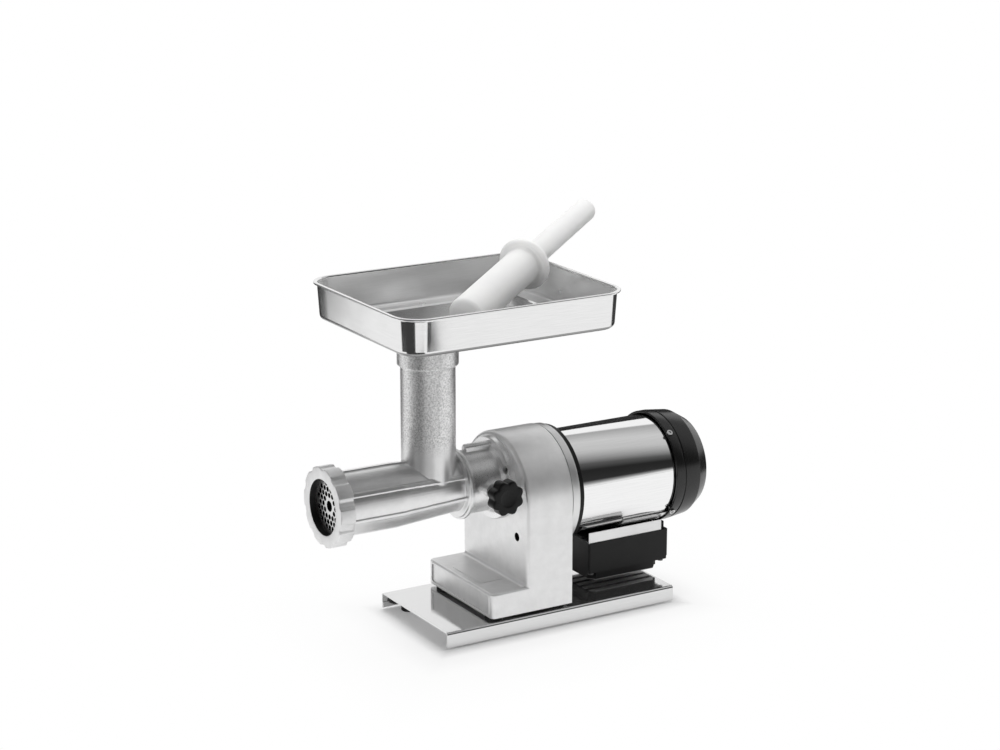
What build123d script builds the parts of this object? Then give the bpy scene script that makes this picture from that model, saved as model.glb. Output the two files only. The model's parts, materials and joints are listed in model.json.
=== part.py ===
from build123d import *
import math
import os

# Electric meat grinder with a size 12 head, millimetres, +Z up, outlet towards -X.
# It is laid out about the machine's centre plane (y = 0), with x = 0 at the gear
# housing's front face and z = 0 on the table, and moved to its own origin at the end.

# Fits and gaps
run_gap = 0.05          # radial play of a shaft or spigot in its bore
slide_gap = 0.3         # play between pieces that only pass each other
screw_gap = 0.3         # radial play of a screw in its through hole
seat_gap = 0.05         # radial play of a seated ring or bush
mesh_backlash = 0.25    # thinning of each gear tooth at the pitch circle
over = 1.0              # overrun of cuts, and overlap of shapes joined into one piece
soft_edge = 0.45        # share of a thin edge's thickness that is rounded

# Teeth, bearings and screw heads
pressure_angle = 20.0
tooth_tip = 0.8         # tooth outside the pitch circle, in modules
tooth_root = 1.05       # tooth inside the pitch circle, in modules
race_share = 0.22       # of a bearing's section, for each of its races
shield_sink = 0.6
socket_share = 0.55     # of a screw head's height and radius, for its hexagon socket

# Base plate: a folded sheet channel on four low rubber feet
base_length = 313.0
base_width = 159.0
base_flange = 18.8
base_sheet = 1.5
base_bend = 3.2
base_hem = 7.0
base_front = 62.0       # base ahead of the housing's toe
foot_gap = 2.0          # flange edge above the table
foot_radius = 9.0
foot_round = 1.2
foot_inset_x = 26.0
foot_inset_y = 19.0
stud_radius = 2.5
stud_length = 11.0

# Gear housing: an arched casting with a toe in front
housing_width = 150.0
housing_depth = 61.5
toe_depth = 48.0
toe_height = 29.8
toe_corner = 6.0
toe_round = 2.5
pad_height = 3.6
pad_radius = 10.0
arch_height = 128.4     # motor axis above the base plate
arch_round = 5.0
panel_rim = 2.6
panel_sink = 1.2
panel_corner = 4.0
front_wall = 10.0
pocket_radius = 66.0
shell_wall = 7.0
boss_radius = 9.0
bolt_radius = 3.0
bolt_head_radius = 5.5
bolt_head = 4.0
bolt_reach = 18.0       # bolt inside the housing's boss
bolt_inset_x = 12.0
bolt_inset_y = 18.0
plug_hole_radius = 5.0
plug_hole_depth = 6.0
plug_hole_y = -51.0
plug_hole_rise = 89.3   # above the base plate
data_plate_x = 30.0
data_plate_y = 66.0
data_plate_thick = 0.5
data_plate_corner = 2.0

# Head drive: output axis above the motor axis, and the gear train
head_rise = 20.9
motor_pinion_teeth = 14
lay_gear_teeth = 56
lay_pinion_teeth = 14
output_gear_teeth = 46
fast_module = 1.0
slow_module = 1.75
output_gear_width = 14.0
lay_gear_width = 10.0
gear_side_gap = 2.0
output_shaft_radius = 12.5
output_bearing_radius = 26.0
output_bearing_width = 15.0
bearing_boss_wall = 6.0
lay_shaft_radius = 6.0
lay_bush_wall = 3.0
lay_bush_length = 10.0
lay_bush_proud = 6.0    # front bush behind the front wall
rear_bush_length = 6.5
shaft_short = 0.5       # layshaft's ends inside its bushes
pinion_over = 0.5       # pinions ahead of the gears they drive
pinion_tail = 1.5       # motor pinion behind the layshaft gear
motor_pinion_bore = 4.0
hub_radius = 18.0
hub_length = 22.0
tang_width = 12.0
tang_height = 28.0
tang_length = 15.0
seal_radius = 20.0
seal_width = 6.0

# Head socket: a flanged collar on the housing's front face
socket_flange_radius = 49.4
socket_flange = 8.7
socket_length = 50.8    # from the housing face to the collar's front edge
socket_radius = 37.5
socket_fillet = 4.0
socket_edge = 1.0
socket_screw_circle = 44.0
socket_screw_angle = 27.0
socket_screw_radius = 3.0
socket_screw_head = 4.6
socket_screw_head_height = 3.4
socket_screw_sink = 5.0
socket_screw_reach = 7.0
drain_width = 5.0
drain_length = 9.0
lug_radius = 4.8
lug_rise = 41.2
lug_front = 43.0
lug_edge = 1.9
lug_web_back = 2.0
stud_boss_radius = 9.0
stud_boss_y = 47.0
clamp_x = 29.5          # clamp axis ahead of the housing face
clamp_radius = 4.0
clamp_tip_gap = 0.25
knob_radius = 21.2
knob_lobes = 8
knob_lobe_radius = 5.9
knob_web_radius = 18.0
knob_thick = 16.0
knob_round = 2.5
knob_cap = 6.0          # knob over the stud's end
knob_hub_radius = 8.5
knob_hub = 4.0
knob_out = 66.0         # knob's inner face from the centre plane

# Grinding head
spigot_wall = 6.5
spigot_length = 39.0
spigot_tube = 6.0       # wall of the hollow spigot
hub_play = 6.0          # hollow ahead of the drive hub
bore_radius = 28.0
head_flange_radius = 42.0
head_flange = 3.6
head_step_radius = 39.2
head_step = 2.6
head_rear_radius = 31.7
barrel_radius = 37.6
barrel_taper_front = 140.0
head_front = 218.0      # head's front edge ahead of the housing face
head_wall_rear = 11.0   # wall behind the bore
thread_radius = 40.0
thread_length = 12.0
rib_width = 5.0
rib_proud = 1.6
rib_angles = (90, 150, 198, 30, -18, 270)
neck_x = 88.9
neck_rise = 190.1       # neck's top above the head's axis
neck_radius = 31.8
neck_bore = 26.5
band_radius = 35.6
band_height = 40.5
band_edge = 1.2

# Auger, knife, plate and ring nut
auger_core = 11.5
auger_flight_gap = 0.7
auger_pitch = 36.0
auger_flight = 6.0
flight_root = 2.0       # flight inside the core
shoulder = 5.0          # disc behind the flights
tang_gap = 1.0          # journal ahead of the drive hub
journal_radius = 20.0
washer_radius = 26.0
washer_thick = 2.0
square_side = 13.0
pin_radius = 6.0
pin_short = 6.0         # pin behind the plate's face
knife_thick = 8.5
knife_radius = 33.0
knife_blade = 11.0
knife_bevel = 4.7
plate_radius = 35.0
plate_thick = 8.0
plate_hole_radius = 3.0
plate_hole_pitch = 7.4
plate_land = 7.3        # outer hole centres inside the plate's edge
plate_hub_land = 4.8    # inner hole centres outside the centre bore
key_radius = 2.0
key_short = 0.5         # key behind the plate's face
nut_radius = 47.2
nut_length = 19.1
nut_mouth = 32.5
nut_lip = 8.7
nut_lobes = 10
nut_groove_radius = 4.5
nut_groove_depth = 2.4
nut_edge = 1.2

# Tray and pusher
tray_length = 292.5
tray_width = 248.4
tray_height = 44.8
tray_corner = 34.0
tray_sheet = 1.0
tray_draft = 3.0
tray_lip = 4.0
tray_lip_height = 2.6
tray_fillet = 6.0
tray_back = 50.8        # tray's middle behind the feed neck
panel_inset = 21.0
panel_drop = 2.0
well_corner = 17.2
neck_ring_length = 14.0
pusher_radius = 21.9
pusher_length = 150.8
pusher_flange_radius = 32.0
pusher_flange = 10.0
pusher_handle_radius = 14.0
pusher_handle = 172.9
pusher_round = 5.0
pusher_heading = 32.7   # degrees from +X towards +Y
pusher_tip_back = 23.5  # tip behind the feed neck
pusher_tip_side = 44.7  # tip beside the centre plane, towards -Y
steepest_tilt = 40.0

# Motor
flange_thick = 11.8
flange_radius = 74.0
flange_round = 1.0
flange_groove = 2.2
flange_groove_depth = 2.0
flange_screw_circle = 69.4
flange_screw_radius = 2.0
flange_screw_head = 3.0
flange_screw_head_height = 2.0
flange_screw_sink = 2.2
flange_screw_reach = 12.0
flange_screw_count = 6
ring_radius = 72.0
ring_width = 6.8
ring_round = 1.0
tube_radius = 64.0
tube_wall = 1.5
tube_show = 141.5       # tube between the flange and the fan cover
tube_tuck = 8.0         # tube inside the fan cover
motor_shaft_radius = 7.5
motor_bearing_radius = 17.5
motor_bearing_width = 11.0
bearing_hub_wall = 4.5
bearing_front_wall = 2.0
shaft_room = 1.5        # round the motor shaft in its walls
stator_start = 27.0     # behind the flange's rear face
stator_length = 80.0
stator_slots = 24
stator_slot_depth = 13.0
stator_slot_width = 4.0
stator_slot_inset = 2.0
air_gap = 0.5
rotor_radius = 36.0
winding_length = 12.0
winding_inset = 3.0
winding_margin = 6.0
winding_round = 3.0
end_ring_length = 6.0
end_ring_inset = 2.0
end_ring_width = 10.0
bell_thick = 9.0
bell_set = 1.0          # bell inside the tube's end
bell_shield = 1.5       # bell behind its bearing
bell_holes = 6
bell_hole_radius = 9.0
cover_radius = 68.0
cover_sleeve = 11.4
cover_groove = 2.4
cover_groove_depth = 1.4
cover_step = 0.4        # drop of the cover behind its groove
cover_mid_radius = 65.0
cover_mid = 35.5
cover_rear_radius = 54.7
cover_length = 52.3
cover_wall = 2.6
cover_screw_angle = 40.0
cover_screw_radius = 2.0
cover_screw_head = 3.6
cover_screw_head_height = 1.8
cover_screw_set = 3.6   # screws behind the cover's front edge
cover_screw_grip = 5.0  # screws inside the tube
vent_slots = 24
vent_inner = 18.0
vent_outer = 46.0
vent_width = 3.0
fan_radius = 54.0
fan_blades = 7
fan_width = 18.0
fan_disc = 2.5
fan_hub_radius = 13.0
fan_gap = 3.0           # fan behind the tube

# Electrical box under the motor, hung from a saddle on the tube
saddle_sheet = 2.0
saddle_length = 62.0
saddle_angle = 46.0     # on each side of the tube's lowest line
cushion_thick = 2.8
cushion_half = 24.0
cushion_lip = 5.0       # cushion behind the bracket's end
cushion_lip_half = 37.0
cushion_tongue = 0.8
cushion_ear = 8.2
cushion_ear_width = 5.0
bracket_length = 104.3
bracket_sheet = 1.5
bracket_flange = 13.0
bracket_half = 39.0
box_start = 107.8       # behind the housing's front face
box_length = 113.9
box_half = 40.0
box_height = 34.2
box_wall = 2.5
box_round = 2.5
lid_step = 0.5          # lid's rim inside the box's outline
lid_rim = 4.0
lid_inset_x = 7.5
lid_inset_y = 8.0
lid_height = 11.0       # pan below the rim
lid_ribs = 5
lid_rib_width = 7.0
lid_rib_height = 1.6
lid_rib_margin = 4.5
lid_notch = 9.0         # pan's corners cut round the screws
lid_screw_radius = 1.8
lid_screw_inset = 6.5
lid_screw_head = 3.4
lid_screw_head_height = 3.0
lid_screw_past = 2.0    # screw inside the box
switch_x = 30.0
switch_z = 22.0
bezel_wall = 1.6
bezel_rim = 2.2
bezel_proud = 2.0
switch_proud = 3.0
switch_depth = 12.0
switch_throw = 18.0     # degrees between off and on
pivot_radius = 1.2
pivot_wall = 0.4
pivot_depth = 1.0       # pivot behind the box's face
rocker_gap = 1.2        # at the rocker's two ends
rocker_edge = 0.5
rocker_dip = 2.0        # hollow in the rocker's face
rocker_tail = 6.0
rocker_tail_half = 4.0
gland_radius = 8.0
gland_nut_radius = 11.0
gland_length = 14.0
gland_side = 20.0
gland_tail = 3.0        # gland inside the box
gland_nut = 5.0
gland_cap_start = 6.5
gland_cap_proud = 1.5
gland_round = 2.0
gland_bore = 3.6
capacitor_radius = 13.0
capacitor_length = 62.0
capacitor_side = 22.0
capacitor_round = 1.5
terminal_length = 40.0
terminal_side = 15.0

# Heights and stations that follow
base_top = foot_gap + base_flange
housing_z = base_top + pad_height
motor_z = base_top + arch_height
head_z = motor_z + head_rise
toe_top = housing_z + toe_height
toe_front = -toe_depth
half_width = housing_width / 2
base_x0 = toe_front - base_front
base_x1 = base_x0 + base_length
cover_x0 = housing_depth
cover_x1 = cover_x0 + flange_thick
tube_end = cover_x1 + tube_show
tube_x1 = tube_end + tube_tuck
fan_cover_x1 = tube_end + cover_length
spigot_radius = socket_radius - spigot_wall
socket_front = -socket_length
head_flange_front = socket_front - head_flange - head_step
bore_rear = head_flange_front - head_wall_rear + head_flange
head_x0 = -head_front

# Gear centres in the Y-Z plane, with the layshaft on the far side below the motor
fast_centres = fast_module * (motor_pinion_teeth + lay_gear_teeth) / 2
slow_centres = slow_module * (lay_pinion_teeth + output_gear_teeth) / 2
lay_drop = (slow_centres**2 - fast_centres**2 - head_rise**2) / (2 * head_rise)
lay_y = math.sqrt(fast_centres**2 - lay_drop**2)
lay_z = motor_z - lay_drop
lay_bush_x1 = front_wall + lay_bush_proud


def rod_x(radius, x0, x1, y=0.0, z=0.0):
    return Pos((x0 + x1) / 2, y, z) * Rot(0, 90, 0) * Cylinder(radius, abs(x1 - x0))


def rod_y(radius, y0, y1, x=0.0, z=0.0):
    return Pos(x, (y0 + y1) / 2, z) * Rot(90, 0, 0) * Cylinder(radius, abs(y1 - y0))


def rod_z(radius, z0, z1, x=0.0, y=0.0):
    return Pos(x, y, (z0 + z1) / 2) * Cylinder(radius, abs(z1 - z0))


def block(x0, x1, y0, y1, z0, z1):
    middle = Pos((x0 + x1) / 2, (y0 + y1) / 2, (z0 + z1) / 2)
    return middle * Box(abs(x1 - x0), abs(y1 - y0), abs(z1 - z0))


def ring_x(outer, inner, x0, x1, y=0.0, z=0.0):
    return rod_x(outer, x0, x1, y, z) - rod_x(inner, x0 - over, x1 + over, y, z)


def plane_x(x, y=0.0, z=0.0):
    return Plane(origin=(x, y, z), x_dir=(0, 1, 0), z_dir=(1, 0, 0))


def turned_x(points, z):
    # points are (x, radius) pairs of a closed outline on one side of the axis
    outline = make_face(Polyline([(x, 0, z + radius) for x, radius in points], close=True))
    return revolve(outline, Axis((0, 0, z), (1, 0, 0)))


def polar(count, start=0.0):
    return [start + 360.0 * k / count for k in range(count)]


def on_circle(radius, degrees):
    angle = math.radians(degrees)
    return radius * math.cos(angle), radius * math.sin(angle)


def gear(module, teeth, x0, x1, y, z, bore, phase):
    # spur gear with involute stub teeth, one of them centred at phase (radians)
    pitch = module * teeth / 2
    slope = math.radians(pressure_angle)
    base = pitch * math.cos(slope)
    root = pitch - tooth_root * module
    tip = pitch + tooth_tip * module
    half = math.pi / (2 * teeth) - mesh_backlash / (2 * pitch)

    def half_angle(radius):
        local = math.acos(min(1.0, base / radius))
        return half + math.tan(slope) - slope - math.tan(local) + local

    foot = (max(root, base) + pitch) / 2
    radii = [root, foot, pitch, (pitch + tip) / 2, tip]
    points = []
    for k in range(teeth):
        middle = phase + 2 * math.pi * k / teeth
        rising = [(radius, middle - half_angle(radius)) for radius in radii]
        falling = [(radius, middle + half_angle(radius)) for radius in reversed(radii)]
        points += [(r * math.cos(a), r * math.sin(a)) for r, a in rising + falling]
    blank = make_face(Polyline(points, close=True))
    wheel = extrude(plane_x(x0, y, z) * blank, x1 - x0)
    return wheel - rod_x(bore, x0 - over, x1 + over, y, z)


def bearing(outer, inner, x0, x1, y, z):
    # sealed ball bearing: a ring with a shallow shield recess in both faces
    body = ring_x(outer, inner, x0, x1, y, z)
    rim = (outer - inner) * race_share
    for a, b in ((x0, x0 + shield_sink), (x1 - shield_sink, x1)):
        body -= rod_x(outer - rim, a, b, y, z) - rod_x(inner + rim, a, b, y, z)
    return body


def socket_screw(radius, head_radius, head_height, length):
    # cap screw along -Z from its seat at z = 0, with a hexagon socket in the head
    screw = rod_z(radius, -length, 0) + rod_z(head_radius, 0, head_height)
    socket_floor = head_height * (1 - socket_share)
    hexagon = RegularPolygon(head_radius * socket_share, 6)
    return screw - extrude(Pos(0, 0, socket_floor) * hexagon, head_height)


# Base plate, feet and fixings
def make_base():
    y = base_width / 2
    inner = y - base_sheet
    shell = block(base_x0, base_x1, -y, y, foot_gap, base_top)
    shell = fillet(shell.edges().filter_by(Axis.X).group_by(Axis.Z)[-1], base_bend)
    hollow = block(base_x0 - over, base_x1 + over, -inner, inner, foot_gap - over, base_top - base_sheet)
    hollow = fillet(hollow.edges().filter_by(Axis.X).group_by(Axis.Z)[-1], base_bend - base_sheet)
    shell -= hollow
    for side in (-1, 1):
        hem_y = side * (inner - base_sheet)
        shell += block(base_x0, base_x1, side * inner, hem_y, foot_gap, foot_gap + base_hem)
    edges = shell.edges().filter_by(Axis.X).group_by(Axis.Z)[0]
    return fillet(edges, 2 * base_sheet * soft_edge)


def foot_spots():
    xs = (base_x0 + foot_inset_x, base_x1 - foot_inset_x)
    y = base_width / 2 - foot_inset_y
    return [(x, side * y) for x in xs for side in (-1, 1)]


def bolt_spots():
    y = half_width - bolt_inset_y
    xs = (toe_front + bolt_inset_x, housing_depth - bolt_inset_x)
    return [(x, side * y) for x in xs for side in (-1, 1)]


base_plate = make_base()
rubber_feet = []
foot_studs = []
ceiling = base_top - base_sheet
for x, y in foot_spots():
    foot = rod_z(foot_radius, 0, ceiling, x, y)
    foot = fillet(foot.edges().group_by(Axis.Z)[0], foot_round)
    foot -= rod_z(stud_radius + seat_gap, ceiling - stud_length - over, ceiling + over, x, y)
    rubber_feet.append(foot)
    foot_studs.append(rod_z(stud_radius, ceiling - stud_length, ceiling, x, y))

housing_pads = []
housing_bolts = []
for x, y in bolt_spots():
    base_plate -= rod_z(bolt_radius + screw_gap, ceiling - over, base_top + over, x, y)
    pad = rod_z(pad_radius, base_top, housing_z, x, y)
    housing_pads.append(pad - rod_z(bolt_radius + screw_gap, base_top - over, housing_z + over, x, y))
    bolt = rod_z(bolt_radius, ceiling, housing_z + bolt_reach, x, y)
    bolt += extrude(Pos(x, y, ceiling - bolt_head) * RegularPolygon(bolt_head_radius, 6), bolt_head)
    housing_bolts.append(bolt)


# Gear housing
def arch_face():
    height = motor_z - housing_z
    flank = Pos(0, housing_z + height / 2) * Rectangle(housing_width, height)
    return flank + Pos(0, motor_z) * Circle(half_width)


def make_housing():
    arch = extrude(plane_x(0) * arch_face(), housing_depth)
    front = arch.faces().sort_by(Axis.X)[0]
    arch = fillet(front.edges().sort_by(Axis.Z)[1:], arch_round)
    toe = block(toe_front, arch_round + over, -half_width, half_width, housing_z, toe_top)
    toe = fillet(toe.edges().filter_by(Axis.Z).group_by(Axis.X)[0], toe_corner)
    toe = fillet(toe.faces().sort_by(Axis.Z)[-1].edges().sort_by(Axis.X)[:-1], toe_round)
    body = arch + toe
    panel_width = housing_width - 2 * toe_corner - panel_rim
    panel = RectangleRounded(panel_width, toe_height - 2 * panel_rim, panel_corner)
    panel_middle = housing_z + toe_height / 2
    body -= extrude(plane_x(toe_front, 0, panel_middle) * panel, panel_sink)
    body -= rod_x(pocket_radius, front_wall, housing_depth + over, 0, motor_z)
    # open shell below the gear pocket and inside the toe
    side = half_width - shell_wall
    pocket_floor = motor_z - pocket_radius - shell_wall
    hollow_front = toe_front + shell_wall
    hollow_rear = housing_depth - shell_wall
    body -= block(hollow_front, hollow_rear, -side, side, housing_z - over, toe_top - shell_wall)
    body -= block(shell_wall + arch_round, hollow_rear, -side, side, housing_z, pocket_floor)
    for x, y in bolt_spots():
        body += rod_z(boss_radius, housing_z, toe_top - shell_wall + over, x, y)
        body -= rod_z(bolt_radius + seat_gap, housing_z - over, housing_z + bolt_reach + over, x, y)
    # seats of the output bearings and the layshaft's front bush
    boss = output_bearing_radius + bearing_boss_wall
    body += rod_x(boss, front_wall - over, 2 * output_bearing_width, 0, head_z)
    body -= rod_x(output_bearing_radius + seat_gap, -1, 2 * output_bearing_width + over, 0, head_z)
    bush = lay_shaft_radius + lay_bush_wall
    body += rod_x(bush + lay_bush_wall, front_wall - over, lay_bush_x1, lay_y, lay_z)
    body -= rod_x(bush + seat_gap, lay_bush_x1 - lay_bush_length, lay_bush_x1 + over, lay_y, lay_z)
    body -= rod_x(plug_hole_radius, -1, plug_hole_depth, plug_hole_y, base_top + plug_hole_rise)
    for y, z in socket_screw_spots():
        body -= rod_x(socket_screw_radius + seat_gap, -1, socket_screw_reach + over, y, z)
    for y, z in flange_screw_spots():
        hole_x0 = housing_depth - flange_screw_reach - over
        body -= rod_x(flange_screw_radius + seat_gap, hole_x0, housing_depth + over, y, z)
    return body


def socket_screw_spots():
    angles = [turn + sign * socket_screw_angle for turn in (0, 180) for sign in (-1, 1)]
    return [(y, head_z + z) for y, z in (on_circle(socket_screw_circle, a) for a in angles)]


def flange_screw_spots():
    angles = polar(flange_screw_count, 180 / flange_screw_count)
    return [(y, motor_z + z) for y, z in (on_circle(flange_screw_circle, a) for a in angles)]


gear_housing = make_housing()
plate_blank = RectangleRounded(data_plate_x, data_plate_y, data_plate_corner)
data_plate = extrude(Pos(toe_front / 2, 0, toe_top) * plate_blank, data_plate_thick)


# Head socket with its clamp boss and the lug on top
def make_socket():
    floor = -socket_flange
    body = rod_x(socket_flange_radius, floor, 0, 0, head_z)
    body = chamfer(body.edges().sort_by(Axis.X)[0], socket_edge)
    collar = rod_x(socket_radius, socket_front, floor + over, 0, head_z)
    collar = chamfer(collar.edges().sort_by(Axis.X)[0], socket_edge)
    flare = [(floor, socket_radius - over), (floor, socket_radius + socket_fillet)]
    flare.append((floor - socket_fillet, socket_radius))
    flare.append((floor - socket_fillet, socket_radius - over))
    body += collar
    body += turned_x(flare, head_z)
    lug = rod_x(lug_radius, -lug_front, floor + over, 0, head_z + lug_rise)
    lug = chamfer(lug.edges().sort_by(Axis.X)[0], lug_edge)
    body += lug
    web_foot = head_z + math.sqrt(socket_radius**2 - lug_radius**2) - over
    web_front = -lug_front + lug_web_back
    body += block(web_front, floor + over, -lug_radius, lug_radius, web_foot, head_z + lug_rise)
    body += rod_y(stud_boss_radius, -stud_boss_y, -spigot_radius, -clamp_x, head_z)
    body -= rod_x(spigot_radius + run_gap, socket_front - over, floor, 0, head_z)
    body -= rod_x(seal_radius + seat_gap, floor - over, -(socket_flange - seal_width), 0, head_z)
    body -= rod_x(output_shaft_radius + slide_gap, floor - over, 1, 0, head_z)
    body -= rod_y(clamp_radius + run_gap, -stud_boss_y - over, -spigot_radius + over, -clamp_x, head_z)
    body -= block(socket_front - over, socket_front + drain_length, -drain_width / 2, drain_width / 2,
                  head_z - socket_radius - over, head_z - spigot_radius + over)
    for y, z in socket_screw_spots():
        body -= rod_x(socket_screw_radius + screw_gap, floor - over, 1, y, z)
        body -= rod_x(socket_screw_head + screw_gap, floor - over, floor + socket_screw_sink, y, z)
    return body


head_socket = make_socket()
socket_screws = []
for y, z in socket_screw_spots():
    length = socket_flange - socket_screw_sink + socket_screw_reach
    screw = socket_screw(socket_screw_radius, socket_screw_head, socket_screw_head_height, length)
    seat = Pos(-socket_flange + socket_screw_sink, y, z)
    socket_screws.append(seat * Rot(0, -90, 0) * screw)

seal_x0 = -socket_flange
shaft_seal = ring_x(seal_radius, output_shaft_radius + run_gap, seal_x0, seal_x0 + seal_width, 0, head_z)

# Clamp screw and star knob on the near side of the collar
stud_tip = -(spigot_radius + clamp_tip_gap)
knob_y0 = -knob_out
knob_y1 = knob_y0 - knob_thick
stud_end = knob_y1 + knob_cap
clamp_stud = rod_y(clamp_radius, stud_end, stud_tip, -clamp_x, head_z)


def make_knob():
    star = Circle(knob_web_radius)
    for angle in polar(knob_lobes, 180 / knob_lobes):
        u, v = on_circle(knob_radius - knob_lobe_radius, angle)
        star += Pos(u, v) * Circle(knob_lobe_radius)
    face = Plane(origin=(-clamp_x, knob_y0, head_z), x_dir=(1, 0, 0), z_dir=(0, -1, 0))
    body = extrude(face * star, knob_thick)
    rims = body.edges().group_by(Axis.Y)
    body = fillet(rims[0] + rims[-1], knob_round)
    body += rod_y(knob_hub_radius, knob_y0 - over, knob_y0 + knob_hub, -clamp_x, head_z)
    body -= rod_y(clamp_radius + seat_gap, stud_end - seat_gap, knob_y0 + knob_hub + over, -clamp_x, head_z)
    return body


clamp_knob = make_knob()


# Drive train
output_gear_x0 = 2 * output_bearing_width + gear_side_gap
output_gear_x1 = output_gear_x0 + output_gear_width
lay_gear_x0 = output_gear_x1 + gear_side_gap
lay_gear_x1 = lay_gear_x0 + lay_gear_width
towards_lay = math.atan2(lay_z - head_z, lay_y)
towards_motor = math.atan2(motor_z - lay_z, -lay_y)
output_phase = towards_lay + math.pi / output_gear_teeth
lay_pinion_phase = towards_lay + math.pi
pinion_phase = towards_motor + math.pi + math.pi / motor_pinion_teeth

output_gear = gear(slow_module, output_gear_teeth, output_gear_x0, output_gear_x1, 0, head_z,
                   output_shaft_radius + seat_gap, output_phase)
shaft_front = -socket_flange - hub_length - slide_gap
hub_rear = -socket_flange - slide_gap
output_shaft = rod_x(output_shaft_radius, hub_rear - over, output_gear_x1, 0, head_z)
output_shaft += rod_x(hub_radius, shaft_front, hub_rear, 0, head_z)
slot_half = tang_width / 2 + slide_gap
output_shaft -= block(shaft_front - over, shaft_front + tang_length + slide_gap, -slot_half, slot_half,
                      head_z - hub_radius - over, head_z + hub_radius + over)
output_bearings = []
for k in range(2):
    x0 = k * output_bearing_width
    output_bearings.append(bearing(output_bearing_radius, output_shaft_radius + run_gap,
                                   x0, x0 + output_bearing_width, 0, head_z))

lay_bush_x0 = lay_bush_x1 - lay_bush_length
rear_bush_x1 = cover_x0 + rear_bush_length
layshaft = rod_x(lay_shaft_radius, lay_bush_x0 + shaft_short, rear_bush_x1 - shaft_short, lay_y, lay_z)
layshaft += gear(slow_module, lay_pinion_teeth, output_gear_x0 - pinion_over, lay_gear_x0, lay_y, lay_z,
                 lay_shaft_radius - over, lay_pinion_phase)
layshaft_gear = gear(fast_module, lay_gear_teeth, lay_gear_x0, lay_gear_x1, lay_y, lay_z,
                     lay_shaft_radius + seat_gap, towards_motor)
bush_outer = lay_shaft_radius + lay_bush_wall
bush_inner = lay_shaft_radius + run_gap
layshaft_bushes = [
    ring_x(bush_outer, bush_inner, lay_bush_x0, lay_bush_x1, lay_y, lay_z),
    ring_x(bush_outer, bush_inner, cover_x0, rear_bush_x1, lay_y, lay_z),
]

# Motor flange, which closes the gear pocket and carries the motor's front bearing
motor_bearing_x0 = cover_x0 + bearing_front_wall
motor_bearing_x1 = motor_bearing_x0 + motor_bearing_width
motor_hub = motor_bearing_radius + bearing_hub_wall


def make_motor_flange():
    body = rod_x(flange_radius, cover_x0, cover_x1, 0, motor_z)
    body = fillet(body.edges().sort_by(Axis.X)[-1], flange_round)
    groove_floor = flange_radius - flange_groove_depth
    body -= ring_x(flange_radius + over, groove_floor, cover_x0, cover_x0 + flange_groove, 0, motor_z)
    body += rod_x(motor_hub, cover_x1 - over, motor_bearing_x1, 0, motor_z)
    body -= rod_x(motor_bearing_radius + seat_gap, motor_bearing_x0, motor_bearing_x1 + over, 0, motor_z)
    body -= rod_x(motor_shaft_radius + shaft_room, cover_x0 - over, cover_x1, 0, motor_z)
    body -= rod_x(bush_outer + seat_gap, cover_x0 - over, rear_bush_x1, lay_y, lay_z)
    for y, z in flange_screw_spots():
        body -= rod_x(flange_screw_radius + screw_gap, cover_x0 - over, cover_x1 + over, y, z)
        body -= rod_x(flange_screw_head + screw_gap, cover_x1 - flange_screw_sink, cover_x1 + over, y, z)
    return body


motor_flange = make_motor_flange()
flange_screws = []
for y, z in flange_screw_spots():
    length = flange_thick - flange_screw_sink + flange_screw_reach
    screw = socket_screw(flange_screw_radius, flange_screw_head, flange_screw_head_height, length)
    flange_screws.append(Pos(cover_x1 - flange_screw_sink, y, z) * Rot(0, 90, 0) * screw)

# Motor shell, stator and rotor
front_ring = ring_x(ring_radius, tube_radius + seat_gap, cover_x1, cover_x1 + ring_width, 0, motor_z)
outer_rims = front_ring.edges().filter_by(GeomType.CIRCLE).group_by(SortBy.RADIUS)[-1]
front_ring = fillet(outer_rims.sort_by(Axis.X)[-1], ring_round)
tube_inner = tube_radius - tube_wall
motor_tube = ring_x(tube_radius, tube_inner, cover_x1, tube_x1, 0, motor_z)

stator_x0 = cover_x1 + stator_start
stator_x1 = stator_x0 + stator_length
stator_bore = rotor_radius + air_gap
stator_outer = tube_inner - seat_gap


def make_stator():
    core = ring_x(stator_outer, stator_bore, stator_x0, stator_x1, 0, motor_z)
    slot_middle = stator_bore + stator_slot_inset + stator_slot_depth / 2
    slot = Pos(slot_middle, 0) * Rectangle(stator_slot_depth, stator_slot_width)
    slots = Sketch()
    for angle in polar(stator_slots):
        slots += Rot(0, 0, angle) * slot
    return core - extrude(plane_x(stator_x0 - over, 0, motor_z) * slots, stator_length + 2)


stator_core = make_stator()
winding_inner = stator_bore + winding_inset
winding_outer = stator_outer - winding_margin
stator_windings = []
for x0, x1 in ((stator_x0 - winding_length, stator_x0), (stator_x1, stator_x1 + winding_length)):
    coil = ring_x(winding_outer, winding_inner, x0, x1, 0, motor_z)
    stator_windings.append(fillet(coil.edges(), winding_round))

bell_x1 = tube_x1 - bell_set
bell_x0 = bell_x1 - bell_thick
rear_bearing_x1 = bell_x1 - bell_shield
rear_bearing_x0 = rear_bearing_x1 - motor_bearing_width
rear_bell = rod_x(tube_inner - seat_gap, bell_x0, bell_x1, 0, motor_z)
rear_bell += rod_x(motor_hub, rear_bearing_x0, bell_x0 + over, 0, motor_z)
rear_bell -= rod_x(motor_bearing_radius + seat_gap, rear_bearing_x0 - over, rear_bearing_x1, 0, motor_z)
rear_bell -= rod_x(motor_shaft_radius + shaft_room, rear_bearing_x0 - over, bell_x1 + over, 0, motor_z)
for angle in polar(bell_holes):
    y, z = on_circle((motor_hub + tube_inner) / 2, angle)
    rear_bell -= rod_x(bell_hole_radius, bell_x0 - over, bell_x1 + over, y, motor_z + z)

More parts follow.
